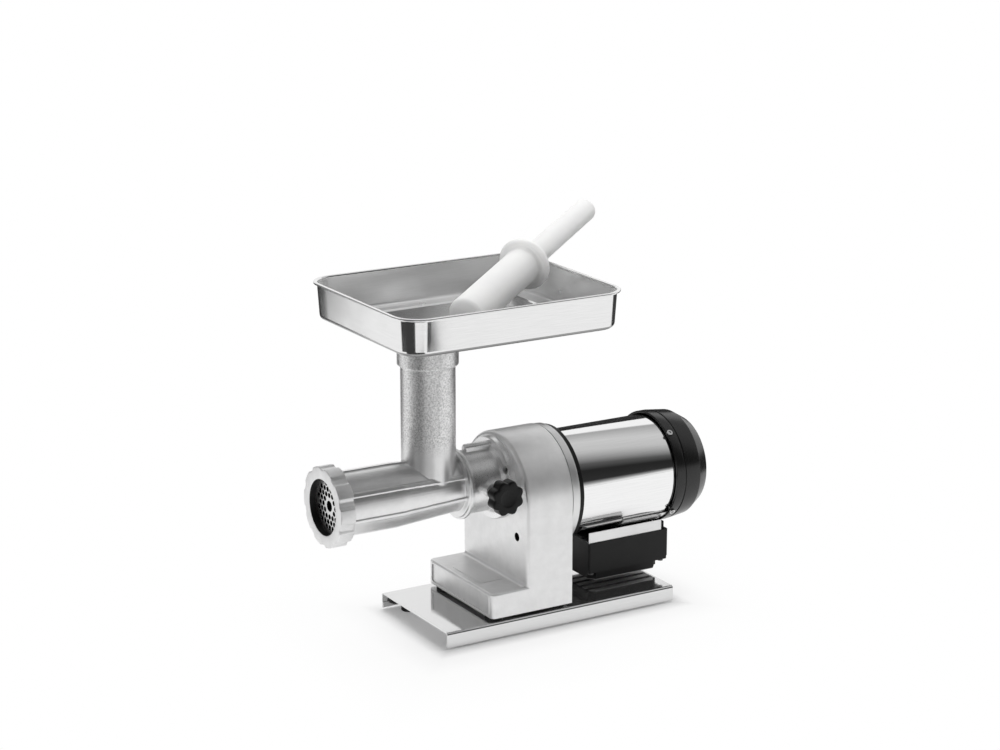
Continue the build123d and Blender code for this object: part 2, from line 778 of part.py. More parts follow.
motor_bearings = []
for x0 in (motor_bearing_x0, rear_bearing_x0):
    motor_bearings.append(bearing(motor_bearing_radius, motor_shaft_radius + run_gap,
                                  x0, x0 + motor_bearing_width, 0, motor_z))

pinion_x0 = lay_gear_x0 - pinion_over
pinion_x1 = lay_gear_x1 + pinion_tail
fan_x0 = tube_x1 + fan_gap
fan_x1 = fan_x0 + fan_width
rotor_shaft = rod_x(motor_shaft_radius, pinion_x1, fan_x1, 0, motor_z)
rotor_shaft += rod_x(motor_pinion_bore - seat_gap, pinion_x0, pinion_x1 + over, 0, motor_z)
motor_pinion = gear(fast_module, motor_pinion_teeth, pinion_x0, pinion_x1, 0, motor_z,
                    motor_pinion_bore, pinion_phase)
rotor_core = ring_x(rotor_radius, motor_shaft_radius + seat_gap, stator_x0, stator_x1, 0, motor_z)
end_outer = rotor_radius - end_ring_inset
for x0, x1 in ((stator_x0 - end_ring_length, stator_x0), (stator_x1, stator_x1 + end_ring_length)):
    rotor_core += ring_x(end_outer, end_outer - end_ring_width, x0, x1, 0, motor_z)


def make_fan():
    body = rod_x(fan_radius, fan_x0, fan_x0 + fan_disc, 0, motor_z)
    body += rod_x(fan_hub_radius, fan_x0, fan_x1, 0, motor_z)
    blade_start = fan_hub_radius - over
    for angle in polar(fan_blades):
        blade = block(fan_x0, fan_x1, blade_start, fan_radius - over, -fan_disc / 2, fan_disc / 2)
        body += Pos(0, 0, motor_z) * Rot(angle, 0, 0) * blade
    return body - rod_x(motor_shaft_radius + seat_gap, fan_x0 - over, fan_x1 + over, 0, motor_z)


cooling_fan = make_fan()


def make_fan_cover():
    sleeve_x1 = tube_end + cover_sleeve
    groove_x1 = sleeve_x1 + cover_groove
    mid_x1 = tube_end + cover_mid
    step_radius = cover_radius - cover_groove_depth
    outer = [(tube_end, 0), (tube_end, cover_radius), (sleeve_x1, cover_radius), (sleeve_x1, step_radius)]
    outer += [(groove_x1, step_radius), (groove_x1, cover_radius - cover_step), (mid_x1, cover_mid_radius)]
    outer += [(fan_cover_x1, cover_rear_radius), (fan_cover_x1, 0)]
    body = turned_x(outer, motor_z)
    sleeve = tube_radius + seat_gap
    inner_end = fan_cover_x1 - cover_wall
    inner = [(tube_end - over, 0), (tube_end - over, sleeve), (tube_x1, sleeve)]
    inner += [(mid_x1 - over, cover_mid_radius - cover_wall), (inner_end, cover_rear_radius - cover_wall)]
    inner.append((inner_end, 0))
    body -= turned_x(inner, motor_z)
    slot_length = vent_outer - vent_inner
    slot = Pos((vent_outer + vent_inner) / 2, 0) * SlotOverall(slot_length, vent_width)
    slots = Sketch()
    for angle in polar(vent_slots):
        slots += Rot(0, 0, angle) * slot
    body -= extrude(plane_x(inner_end - over, 0, motor_z) * slots, cover_wall + 2)
    hole_radius = cover_screw_radius + screw_gap
    for hole in cover_screw_rods(hole_radius, tube_radius - over, cover_radius + over):
        body -= hole
    return body


def cover_screw_rods(radius, inner, outer):
    rods = []
    for angle in polar(4, cover_screw_angle):
        stem = rod_z(radius, inner, outer)
        rods.append(Pos(cover_screw_x, 0, motor_z) * Rot(angle - 90, 0, 0) * stem)
    return rods


cover_screw_x = tube_end + cover_screw_set
fan_cover = make_fan_cover()
screw_inner = tube_inner - cover_screw_grip
for hole in cover_screw_rods(cover_screw_radius + seat_gap, screw_inner - over, cover_radius):
    motor_tube -= hole
    rear_bell -= hole
fan_cover_screws = []
for angle in polar(4, cover_screw_angle):
    length = cover_radius - screw_inner
    screw = socket_screw(cover_screw_radius, cover_screw_head, cover_screw_head_height, length)
    stand = Pos(cover_screw_x, 0, motor_z) * Rot(angle - 90, 0, 0)
    fan_cover_screws.append(stand * Pos(0, 0, cover_radius) * screw)


# Grinding head
neck_top = head_z + neck_rise
plate_x0 = head_x0
plate_x1 = plate_x0 + plate_thick
knife_x0 = plate_x1 + slide_gap
knife_x1 = knife_x0 + knife_thick
hub_room = shaft_front - hub_play


def make_head():
    barrel = [(head_x0, 0), (head_x0, thread_radius), (head_x0 + thread_length, thread_radius)]
    barrel += [(head_x0 + thread_length, barrel_radius), (-barrel_taper_front, barrel_radius)]
    barrel += [(head_flange_front, head_rear_radius), (head_flange_front, head_step_radius)]
    flange_x = socket_front - head_flange
    barrel += [(flange_x, head_step_radius), (flange_x, head_flange_radius)]
    spigot_end = socket_front + spigot_length
    barrel += [(socket_front, head_flange_radius), (socket_front, spigot_radius)]
    barrel += [(spigot_end, spigot_radius), (spigot_end, 0)]
    body = turned_x(barrel, head_z)
    rib_front = head_x0 + thread_length
    rib_rear = head_flange_front + over
    profile = [(rib_front, 0), (rib_front, barrel_radius + rib_proud)]
    profile += [(-barrel_taper_front, barrel_radius + rib_proud), (rib_rear, head_rear_radius + rib_proud)]
    profile.append((rib_rear, 0))
    for angle in rib_angles:
        rib = extrude(Pos(0, 0, -rib_width / 2) * make_face(Polyline(profile, close=True)), rib_width)
        body += Pos(0, 0, head_z) * Rot(angle, 0, 0) * rib
    body += rod_z(neck_radius, head_z, neck_top, -neck_x)
    band = rod_z(band_radius, neck_top - band_height, neck_top, -neck_x)
    body += chamfer(band.edges().group_by(Axis.Z)[0], band_edge)
    body -= rod_z(neck_bore, head_z, neck_top + over, -neck_x)
    body -= rod_x(plate_radius + seat_gap, head_x0 - over, knife_x1, 0, head_z)
    body -= rod_x(bore_radius, knife_x1 - over, bore_rear, 0, head_z)
    body -= rod_x(journal_radius + run_gap, bore_rear - over, spigot_end, 0, head_z)
    body -= rod_x(spigot_radius - spigot_tube, hub_room, spigot_end + over, 0, head_z)
    body -= rod_x(key_radius + seat_gap, head_x0 - over, plate_x1, 0, head_z - plate_radius)
    return body


head_casting = make_head()

# Auger with its thrust washer, drive tang, knife square and front pin
washer_x0 = bore_rear - washer_thick
auger_rear = washer_x0 - slide_gap
thrust_washer = ring_x(washer_radius, journal_radius + run_gap, washer_x0, bore_rear, 0, head_z)
journal_end = shaft_front - tang_gap


def make_auger():
    flight_front = knife_x1 + auger_flight
    flight_rear = auger_rear - shoulder
    flight_length = flight_rear - flight_front
    flight_radius = bore_radius - auger_flight_gap
    middle_radius = (flight_radius + auger_core - flight_root) / 2
    path = Helix(auger_pitch, flight_length, middle_radius, lefthand=True)
    section_plane = Plane(path @ 0, x_dir=(1, 0, 0), z_dir=path % 0)
    section = section_plane * Rectangle(2 * (flight_radius - middle_radius), auger_flight)
    flight = sweep(section, path, is_frenet=True) & rod_z(bore_radius, 0, flight_length)
    screw = rod_z(auger_core, -auger_flight, flight_length + shoulder) + flight
    body = Pos(flight_front, 0, head_z) * Rot(0, 90, 0) * screw
    body += rod_x(washer_radius, flight_rear, auger_rear, 0, head_z)
    body += rod_x(journal_radius, auger_rear, journal_end, 0, head_z)
    tang_end = shaft_front + tang_length
    body += block(journal_end - over, tang_end, -tang_width / 2, tang_width / 2,
                  head_z - tang_height / 2, head_z + tang_height / 2)
    side = square_side / 2
    body += block(knife_x0, knife_x1 + over, -side, side, head_z - side, head_z + side)
    return body + rod_x(pin_radius, plate_x0 + pin_short, knife_x0 + over, 0, head_z)


auger = make_auger()


# Four-bladed knife on the auger's square
def make_knife():
    body = rod_x(square_side, knife_x0, knife_x1, 0, head_z)
    for angle in polar(4):
        arm = block(knife_x0, knife_x1, 0, knife_radius, -knife_blade / 2, knife_blade / 2)
        rear = arm.edges().filter_by(Axis.Y).sort_by(Axis.X)[2:]
        arm = chamfer(rear.sort_by(Axis.Z)[0], knife_bevel)
        body += Pos(0, 0, head_z) * Rot(angle, 0, 0) * arm
    hole = square_side / 2 + seat_gap
    return body - block(knife_x0 - over, knife_x1 + over, -hole, hole, head_z - hole, head_z + hole)


knife = make_knife()


# Mincing plate with its key pin at the bottom
def plate_holes():
    reach = plate_radius - plate_land
    keep = pin_radius + plate_hub_land
    rows = int(reach / (plate_hole_pitch * math.sqrt(3) / 2)) + 1
    spots = []
    for row in range(-rows, rows + 1):
        v = row * plate_hole_pitch * math.sqrt(3) / 2
        for column in range(-rows - 1, rows + 2):
            u = (column + (row % 2) / 2) * plate_hole_pitch
            if keep < math.hypot(u, v) < reach:
                spots.append((u, v))
    return spots


def make_plate():
    disc = Circle(plate_radius) - [Pos(u, v) * Circle(plate_hole_radius) for u, v in plate_holes()]
    disc -= Circle(pin_radius + slide_gap)
    disc -= Pos(0, -plate_radius) * Circle(key_radius + slide_gap)
    return extrude(plane_x(plate_x0, 0, head_z) * disc, plate_thick)


mincing_plate = make_plate()
plate_key = rod_x(key_radius, plate_x0 + key_short, plate_x1, 0, head_z - plate_radius)

# Ring nut that holds the plate in the head
nut_lip_rear = plate_x0 - slide_gap
nut_x0 = nut_lip_rear - nut_lip
nut_x1 = nut_x0 + nut_length


def make_nut():
    outline = Circle(nut_radius)
    for angle in polar(nut_lobes, 180 / nut_lobes):
        u, v = on_circle(nut_radius + nut_groove_radius - nut_groove_depth, angle)
        outline -= Pos(u, v) * Circle(nut_groove_radius)
    body = extrude(plane_x(nut_x0, 0, head_z) * outline, nut_length)
    rims = body.edges().group_by(Axis.X)
    body = chamfer(rims[0] + rims[-1], nut_edge)
    body -= rod_x(thread_radius + slide_gap, nut_lip_rear, nut_x1 + over, 0, head_z)
    mouth = [(nut_x0 - over, 0), (nut_x0 - over, nut_mouth + nut_edge + over)]
    mouth += [(nut_x0 + nut_edge, nut_mouth), (nut_lip_rear + over, nut_mouth), (nut_lip_rear + over, 0)]
    return body - turned_x(mouth, head_z)


ring_nut = make_nut()


# Tray on the feed neck
tray_x = -neck_x + tray_back
panel_z = neck_top                       # underside of the sunk floor panel
tray_z0 = panel_z + panel_drop           # underside of the floor's border
tray_z1 = tray_z0 + tray_height
floor_z = panel_z + tray_sheet


def tray_loft(inset, z0, z1):
    # tapered block with rounded corners; inset is the wall already taken off
    top_length = tray_length - 2 * (tray_lip + inset)
    top_width = tray_width - 2 * (tray_lip + inset)
    corner = tray_corner - tray_lip - inset
    share = (z1 - z0) / tray_height
    low = 2 * tray_draft * share
    bottom = Pos(tray_x, 0, z0) * RectangleRounded(top_length - low, top_width - low, corner - low / 2)
    top = Pos(tray_x, 0, z1) * RectangleRounded(top_length, top_width, corner)
    return loft([bottom, top])


def make_tray():
    outer = tray_loft(0, tray_z0, tray_z1)
    outer = fillet(outer.faces().sort_by(Axis.Z)[0].edges(), tray_fillet)
    inner = tray_loft(tray_sheet, tray_z0 + tray_sheet, tray_z1 + over)
    inner = fillet(inner.faces().sort_by(Axis.Z)[0].edges(), tray_fillet - tray_sheet)
    lip = extrude(Pos(tray_x, 0, tray_z1 - tray_lip_height)
                  * RectangleRounded(tray_length, tray_width, tray_corner), tray_lip_height)
    lip = fillet(lip.edges().filter_by(Axis.Z, reverse=True), tray_lip_height * soft_edge)
    panel_length = tray_length - 2 * (tray_lip + tray_draft + panel_inset)
    panel_width = tray_width - 2 * (tray_lip + tray_draft + panel_inset)
    pan = RectangleRounded(panel_length, panel_width, well_corner)
    pan = extrude(Pos(tray_x, 0, panel_z) * pan, panel_drop + tray_sheet / 2)
    well = RectangleRounded(panel_length - 2 * tray_sheet, panel_width - 2 * tray_sheet,
                            well_corner - tray_sheet)
    body = outer + lip + pan - inner
    body -= extrude(Pos(tray_x, 0, floor_z) * well, tray_height)
    ring_outer = neck_bore - slide_gap
    body += rod_z(ring_outer, panel_z - neck_ring_length, floor_z, -neck_x)
    return body - rod_z(ring_outer - tray_sheet, panel_z - neck_ring_length - over, floor_z + over, -neck_x)


tray = make_tray()


# Pusher lying in the tray: its tip on the floor, its handle over the rear rim
def pusher_pose():
    heading = math.radians(pusher_heading)
    tip_x = -neck_x + pusher_tip_back
    rim_x = tray_x + tray_length / 2 - tray_lip - tray_sheet
    low, high = 0.0, math.radians(steepest_tilt)
    for halving in range(60):
        tilt = (low + high) / 2
        drop = (pusher_radius - pusher_round) * math.cos(tilt) + pusher_round * (1 - math.sin(tilt))
        tip_z = floor_z + slide_gap + drop
        run, rise = math.cos(tilt) * math.cos(heading), math.sin(tilt)
        normal = math.hypot(run, rise)
        lift = ((rim_x - tip_x) * rise - (tray_z1 - tip_z) * run) / normal
        if lift < pusher_handle_radius + slide_gap:
            low = tilt
        else:
            high = tilt
    return tip_x, -pusher_tip_side, tip_z, math.degrees(tilt)


tip_x, tip_y, tip_z, pusher_tilt = pusher_pose()


def make_pusher():
    flange_end = pusher_length + pusher_flange
    end = flange_end + pusher_handle
    body = rod_z(pusher_radius, 0, pusher_length + over)
    body = fillet(body.edges().group_by(Axis.Z)[0], pusher_round)
    disc = rod_z(pusher_flange_radius, pusher_length, flange_end)
    body += fillet(disc.edges(), pusher_flange * soft_edge)
    grip = rod_z(pusher_handle_radius, flange_end - over, end)
    body += fillet(grip.edges().group_by(Axis.Z)[-1], pusher_handle_radius * soft_edge)
    return Pos(tip_x, tip_y, tip_z) * Rot(0, 0, pusher_heading) * Rot(0, 90 - pusher_tilt, 0) * body


pusher = make_pusher()

# Saddle, bracket, electrical box and lid under the motor
saddle_inner = tube_radius + seat_gap
saddle_outer = saddle_inner + saddle_sheet
saddle_x1 = tube_end - seat_gap
saddle_x0 = saddle_x1 - saddle_length
saddle_top = motor_z - saddle_outer * math.cos(math.radians(saddle_angle))
saddle = ring_x(saddle_outer, saddle_inner, saddle_x0, saddle_x1, 0, motor_z)
saddle &= block(saddle_x0, saddle_x1, -saddle_outer, saddle_outer, motor_z - saddle_outer - over, saddle_top)
cushion_z1 = motor_z - saddle_outer - seat_gap
web_z1 = cushion_z1 - cushion_thick
web_z0 = web_z1 - bracket_sheet
bracket_x1 = box_start + bracket_length
bracket = block(box_start, bracket_x1, -bracket_half, bracket_half, web_z0, web_z1)
for side in (-1, 1):
    bracket += block(box_start, bracket_x1, side * bracket_half,
                     side * (bracket_half - bracket_sheet), web_z0, web_z0 + bracket_flange)


# Rubber cushion on the bracket, with a lip and two ears behind the bracket's end
def make_cushion():
    body = block(box_start, bracket_x1, -cushion_half, cushion_half, web_z1, cushion_z1)
    lip_x0 = bracket_x1 + seat_gap
    lip_x1 = bracket_x1 + cushion_lip
    tongue_x0 = bracket_x1 - cushion_lip
    tongue_z1 = web_z1 + cushion_tongue
    body += block(tongue_x0, lip_x1, -cushion_half, cushion_half, web_z1, tongue_z1)
    body += block(lip_x0, lip_x1, -cushion_lip_half, cushion_lip_half, web_z0, tongue_z1)
    for side in (-1, 1):
        ear_y = side * (cushion_lip_half - cushion_ear_width)
        body += block(lip_x0, lip_x1, side * cushion_lip_half, ear_y, web_z0, web_z1 + cushion_ear)
    return body


cushion = make_cushion()

box_z1 = web_z0
box_z0 = box_z1 - box_height
box_x1 = box_start + box_length
lid_x0 = box_start + lid_inset_x
lid_x1 = box_x1 - lid_inset_x
lid_half = box_half - lid_inset_y
rim_z0 = box_z0 - lid_rim
lid_z0 = rim_z0 - lid_height
box_middle_x = (box_start + box_x1) / 2
switch_mid_z = (box_z0 + box_z1) / 2
gland_y = gland_side


def lid_screw_spots():
    y = box_half - lid_screw_inset
    xs = (box_start + lid_screw_inset, box_x1 - lid_screw_inset)
    return [(x, side * y) for x in xs for side in (-1, 1)]


def make_box():
    body = block(box_start, box_x1, -box_half, box_half, box_z0, box_z1)
    body = fillet(body.edges().filter_by(Axis.Z), box_round)
    w = box_wall
    body -= block(box_start + w, box_x1 - w, -box_half + w, box_half - w, box_z0 + w, box_z1 - w)
    edge = 2 * lid_screw_inset
    side = lid_half - w
    body -= block(lid_x0 + edge, lid_x1 - edge, -side, side, box_z0 - over, box_z0 + w + over)
    half = switch_x / 2 + bezel_wall + seat_gap
    tall = switch_z / 2 + bezel_wall + seat_gap
    body -= block(box_middle_x - half, box_middle_x + half, box_half - w - over, box_half + over,
                  switch_mid_z - tall, switch_mid_z + tall)
    body -= rod_x(gland_radius + seat_gap, box_x1 - w - over, box_x1 + over, gland_y, switch_mid_z)
    for x, y in lid_screw_spots():
        body -= rod_z(lid_screw_radius + seat_gap, box_z0 - over, box_z0 + w + over, x, y)
    return body


def make_lid():
    w = box_wall
    rim_half = box_half - lid_step
    rim = block(box_start + lid_step, box_x1 - lid_step, -rim_half, rim_half, rim_z0, box_z0)
    rim = fillet(rim.edges().filter_by(Axis.Z), box_round)
    pan = block(lid_x0, lid_x1, -lid_half, lid_half, lid_z0, rim_z0 + over)
    reach = lid_half - lid_rib_margin
    for k in range(lid_ribs):
        y = -reach + 2 * reach * k / (lid_ribs - 1)
        pan += block(lid_x0 + w, lid_x1 - w, y - lid_rib_width / 2, y + lid_rib_width / 2,
                     lid_z0 - lid_rib_height, lid_z0 + over)
    hollow = block(lid_x0 + w, lid_x1 - w, -lid_half + w, lid_half - w, lid_z0 + w, box_z0 + over)
    for x, y in lid_screw_spots():
        pan -= rod_z(lid_notch, lid_z0 - lid_rib_height - over, rim_z0, x, y)
        hollow -= rod_z(lid_notch + w, lid_z0, box_z0 + 2 * over, x, y)
    body = rim + pan - hollow
    for x, y in lid_screw_spots():
        body -= rod_z(lid_screw_radius + screw_gap, rim_z0 - over, box_z0 + over, x, y)
    return body


switch_box = make_box()
box_lid = make_lid()
lid_screws = []
for x, y in lid_screw_spots():
    length = lid_rim + box_wall + lid_screw_past
    screw = socket_screw(lid_screw_radius, lid_screw_head, lid_screw_head_height, length)
    lid_screws.append(Pos(x, y, rim_z0) * Rot(180, 0, 0) * screw)

# Rocker switch on the far side of the box
bezel_x = switch_x / 2 + bezel_wall
bezel_z = switch_z / 2 + bezel_wall
pivot_y = box_half - pivot_depth
pivot_half = bezel_z - pivot_wall


def make_bezel():
    body = block(-bezel_x, bezel_x, box_half - switch_depth, box_half, -bezel_z, bezel_z)
    rim_x = bezel_x + bezel_rim
    rim_z = bezel_z + bezel_rim
    rim = block(-rim_x, rim_x, box_half, box_half + bezel_proud, -rim_z, rim_z)
    body += chamfer(rim.faces().sort_by(Axis.Y)[-1].edges(), bezel_proud * soft_edge)
    body -= block(-switch_x / 2, switch_x / 2, box_half - switch_depth - over, box_half + bezel_proud + over,
                  -switch_z / 2, switch_z / 2)
    body -= rod_z(pivot_radius + run_gap, -pivot_half, pivot_half, 0, pivot_y)
    return Pos(box_middle_x, 0, switch_mid_z) * body


def make_rocker():
    half = switch_x / 2 - rocker_gap
    peak = switch_proud + bezel_proud
    profile = [(-half, rocker_edge), (-half, peak), (0, peak - rocker_dip), (half, peak)]
    profile += [(half, rocker_edge), (rocker_tail_half, -rocker_tail), (-rocker_tail_half, -rocker_tail)]
    face = make_face(Polyline(profile, close=True))
    tall = switch_z / 2 - slide_gap
    body = extrude(Pos(0, 0, -tall) * face, 2 * tall)
    body += rod_z(pivot_radius, slide_gap - pivot_half, pivot_half - slide_gap)
    return Pos(box_middle_x, pivot_y, switch_mid_z) * Rot(0, 0, -switch_throw / 2) * body


switch_bezel = make_bezel()
rocker = make_rocker()

# Cable gland without a cord, capacitor and terminal block
gland_x1 = box_x1 + gland_length
gland_x0 = box_x1 - box_wall - gland_tail
cable_gland = rod_x(gland_radius, gland_x0, gland_x1, gland_y, switch_mid_z)
hexagon = plane_x(box_x1, gland_y, switch_mid_z) * RegularPolygon(gland_nut_radius, 6)
cable_gland += extrude(hexagon, gland_nut)
gland_cap = rod_x(gland_radius + gland_cap_proud, box_x1 + gland_cap_start, gland_x1, gland_y, switch_mid_z)
cable_gland += fillet(gland_cap.edges().sort_by(Axis.X)[-1], gland_round)
cable_gland -= rod_x(gland_bore, gland_x0 - over, gland_x1 + over, gland_y, switch_mid_z)
inside_top = box_z1 - box_wall - seat_gap
capacitor_z = inside_top - capacitor_radius
capacitor_x0 = box_middle_x - capacitor_length / 2
capacitor_x1 = capacitor_x0 + capacitor_length
capacitor = rod_x(capacitor_radius, capacitor_x0, capacitor_x1, -capacitor_side, capacitor_z)
capacitor = fillet(capacitor.edges().filter_by(GeomType.CIRCLE), capacitor_round)
terminal_block = block(box_middle_x - terminal_length / 2, box_middle_x + terminal_length / 2,
                       -terminal_side / 2, terminal_side / 2, inside_top - terminal_side, inside_top)

pieces = {
    "base_plate": base_plate,
    "rubber_feet": rubber_feet,
    "foot_studs": foot_studs,
    "housing_pads": housing_pads,
    "housing_bolts": housing_bolts,
    "gear_housing": gear_housing,
    "data_plate": data_plate,
    "head_socket": head_socket,
    "socket_screws": socket_screws,
    "shaft_seal": shaft_seal,
    "clamp_stud": clamp_stud,
    "clamp_knob": clamp_knob,
    "output_gear": output_gear,
    "output_shaft": output_shaft,
    "output_bearings": output_bearings,
    "layshaft": layshaft,
    "layshaft_gear": layshaft_gear,
    "layshaft_bushes": layshaft_bushes,
    "motor_flange": motor_flange,
    "flange_screws": flange_screws,
    "front_ring": front_ring,
    "motor_tube": motor_tube,
    "stator_core": stator_core,
    "stator_windings": stator_windings,
    "rear_bell": rear_bell,
    "motor_bearings": motor_bearings,
    "rotor_shaft": rotor_shaft,
    "motor_pinion": motor_pinion,
    "rotor_core": rotor_core,
    "cooling_fan": cooling_fan,
    "fan_cover": fan_cover,
    "fan_cover_screws": fan_cover_screws,
    "head_casting": head_casting,
    "thrust_washer": thrust_washer,
    "auger": auger,
    "knife": knife,
    "mincing_plate": mincing_plate,
    "plate_key": plate_key,
    "ring_nut": ring_nut,
    "tray": tray,
    "pusher": pusher,
    "motor_saddle": saddle,
    "motor_bracket": bracket,
    "bracket_cushion": cushion,
    "switch_box": switch_box,
    "box_lid": box_lid,
    "lid_screws": lid_screws,
    "switch_bezel": switch_bezel,
    "rocker": rocker,
    "cable_gland": cable_gland,
    "capacitor": capacitor,
    "terminal_block": terminal_block,
}

# The part's own origin is the middle of its outer box, on the table
parts = {}
for name, piece in pieces.items():
    solids = piece if isinstance(piece, list) else [piece]
    parts[name] = [solid for item in solids for solid in item.solids()]
boxes = [solid.bounding_box() for solids in parts.values() for solid in solids]
shift_x = -(min(box.min.X for box in boxes) + max(box.max.X for box in boxes)) / 2
shift_y = -(min(box.min.Y for box in boxes) + max(box.max.Y for box in boxes)) / 2
home = Location((shift_x, shift_y, 0))

os.makedirs("parts", exist_ok=True)
for name, solids in parts.items():
    moved = [solid.moved(home) for solid in solids]
    export_step(moved[0] if len(moved) == 1 else Compound(moved), f"parts/{name}.step")
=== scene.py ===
import bpy
import bmesh
import json
import math
import numpy as np
from mathutils import Matrix, Vector

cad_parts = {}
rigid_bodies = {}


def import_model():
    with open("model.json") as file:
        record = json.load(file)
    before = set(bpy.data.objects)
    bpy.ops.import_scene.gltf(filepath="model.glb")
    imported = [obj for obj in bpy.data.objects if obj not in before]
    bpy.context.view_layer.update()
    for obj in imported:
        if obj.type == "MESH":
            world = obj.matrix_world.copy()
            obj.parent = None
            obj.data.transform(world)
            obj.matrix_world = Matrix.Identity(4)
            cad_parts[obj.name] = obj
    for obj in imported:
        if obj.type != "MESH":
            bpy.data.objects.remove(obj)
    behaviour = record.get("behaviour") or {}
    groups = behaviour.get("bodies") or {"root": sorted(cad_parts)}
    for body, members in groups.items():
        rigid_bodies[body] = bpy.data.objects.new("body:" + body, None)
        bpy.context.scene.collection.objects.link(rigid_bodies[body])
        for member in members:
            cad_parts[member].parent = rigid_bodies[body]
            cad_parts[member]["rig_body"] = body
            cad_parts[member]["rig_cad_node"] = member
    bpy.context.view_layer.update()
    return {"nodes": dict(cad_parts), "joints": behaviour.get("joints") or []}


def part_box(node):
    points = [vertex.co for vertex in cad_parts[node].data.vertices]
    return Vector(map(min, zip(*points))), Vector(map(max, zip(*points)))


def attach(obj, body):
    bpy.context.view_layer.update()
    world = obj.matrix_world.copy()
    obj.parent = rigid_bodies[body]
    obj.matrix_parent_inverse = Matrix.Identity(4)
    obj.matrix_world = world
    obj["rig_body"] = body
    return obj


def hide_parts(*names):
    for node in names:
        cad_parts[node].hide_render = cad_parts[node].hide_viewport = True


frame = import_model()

mm = 0.001
weldReach = 0.01 * mm
mergeReach = 0.001 * mm
scene = bpy.context.scene
nodes = frame["nodes"]
joints = {joint["name"]: joint for joint in frame["joints"]}


# small shader tools
def startFinish(name, metal, rough):
    finish = bpy.data.materials.new(name)
    finish.use_nodes = True
    tree = finish.node_tree
    shader = tree.nodes["Principled BSDF"]
    shader.inputs["Metallic"].default_value = metal
    shader.inputs["Roughness"].default_value = rough
    place = tree.nodes.new("ShaderNodeTexCoord").outputs["Object"]
    return finish, tree, shader, place


def grain(tree, place, size, detail=4.0, stretch=(1, 1, 1)):  # size of one grain in mm
    scaled = tree.nodes.new("ShaderNodeMapping")
    scaled.inputs["Scale"].default_value = stretch
    tree.links.new(place, scaled.inputs["Vector"])
    made = tree.nodes.new("ShaderNodeTexNoise")
    made.inputs["Scale"].default_value = 1 / (size * mm)
    made.inputs["Detail"].default_value = detail
    made.inputs["Roughness"].default_value = 0.55
    tree.links.new(scaled.outputs["Vector"], made.inputs["Vector"])
    return made.outputs["Fac"]


def spread(tree, value, low, high, start=0.3, end=0.7):
    made = tree.nodes.new("ShaderNodeMapRange")
    for socket, number in zip(("From Min", "From Max", "To Min", "To Max"), (start, end, low, high)):
        made.inputs[socket].default_value = number
    tree.links.new(value, made.inputs["Value"])
    return made.outputs["Result"]


def ramp(tree, value, stops):  # stops are (place, colour)
    made = tree.nodes.new("ShaderNodeValToRGB")
    marks = made.color_ramp.elements
    while len(marks) < len(stops):
        marks.new(0.5)
    for mark, (place, colour) in zip(marks, stops):
        mark.position = place
        mark.color = (*colour, 1)
    tree.links.new(value, made.inputs["Fac"])
    return made.outputs["Color"]


def tone(tree, value, dark, light, start=0.3, end=0.7):
    return ramp(tree, value, ((start, dark), (end, light)))


def join(tree, source, socket):  # a socket is linked, a plain value is set
    if isinstance(source, bpy.types.NodeSocket):
        tree.links.new(source, socket)
    else:
        socket.default_value = source


def mathStep(tree, operation, *sources):
    made = tree.nodes.new("ShaderNodeMath")
    made.operation = operation
    for source, socket in zip(sources, made.inputs):
        join(tree, source, socket)
    return made.outputs["Value"]


def vectorStep(tree, operation, *sources):
    made = tree.nodes.new("ShaderNodeVectorMath")
    made.operation = operation
    for source, socket in zip(sources, made.inputs):
        join(tree, source, socket)
    return made.outputs["Value" if operation in ("DOT_PRODUCT", "LENGTH") else "Vector"]


def mixColours(tree, share, first, second, way="MIX"):
    made = tree.nodes.new("ShaderNodeMix")
    made.data_type = "RGBA"
    made.blend_type = way
    join(tree, share, made.inputs["Factor"])
    join(tree, first, made.inputs[6])
    join(tree, second, made.inputs[7])
    return made.outputs[2]


def split(tree, vector):
    made = tree.nodes.new("ShaderNodeSeparateXYZ")
    tree.links.new(vector, made.inputs["Vector"])
    return made.outputs


def relief(tree, shader, height, strength, depth):  # depth in mm
    made = tree.nodes.new("ShaderNodeBump")
    made.inputs["Strength"].default_value = strength
    made.inputs["Distance"].default_value = depth * mm
    tree.links.new(height, made.inputs["Height"])
    tree.links.new(made.outputs["Normal"], shader.inputs["Normal"])
    return made


def feed(tree, shader, **sources):
    for socket, source in sources.items():
        tree.links.new(source, shader.inputs[socket.replace("_", " ")])


def grey(level):
    return (level, level, level)


# sheet and machined metals: fine lines drawn out along one axis
def drawnMetal(name, level, rough, lines, lineSize, depth, metal=1.0):
    finish, tree, shader, place = startFinish(name, metal, rough)
    fine = grain(tree, place, lineSize, 3.0, lines)
    cloud = grain(tree, place, 45, 2.0)
    feed(tree, shader, Base_Color=tone(tree, fine, grey(level * 0.94), grey(level)),
         Roughness=spread(tree, cloud, rough * 0.8, rough * 1.25))
    relief(tree, shader, fine, 0.35, depth)
    return finish


# cast metals: a grainy skin with blotches
def castMetal(name, level, rough, grainSize, depth, blotch=0.08, metal=1.0, tint=(1, 1, 1)):
    finish, tree, shader, place = startFinish(name, metal, rough)
    skin = grain(tree, place, grainSize, 5.0)
    cloud = grain(tree, place, 14, 4.0)
    light = tuple(level * channel for channel in tint)
    dark = tuple((1 - blotch) * channel for channel in light)
    feed(tree, shader, Base_Color=tone(tree, cloud, dark, light),
         Roughness=spread(tree, skin, rough * 0.8, rough * 1.3))
    relief(tree, shader, skin, 0.5, depth)
    return finish


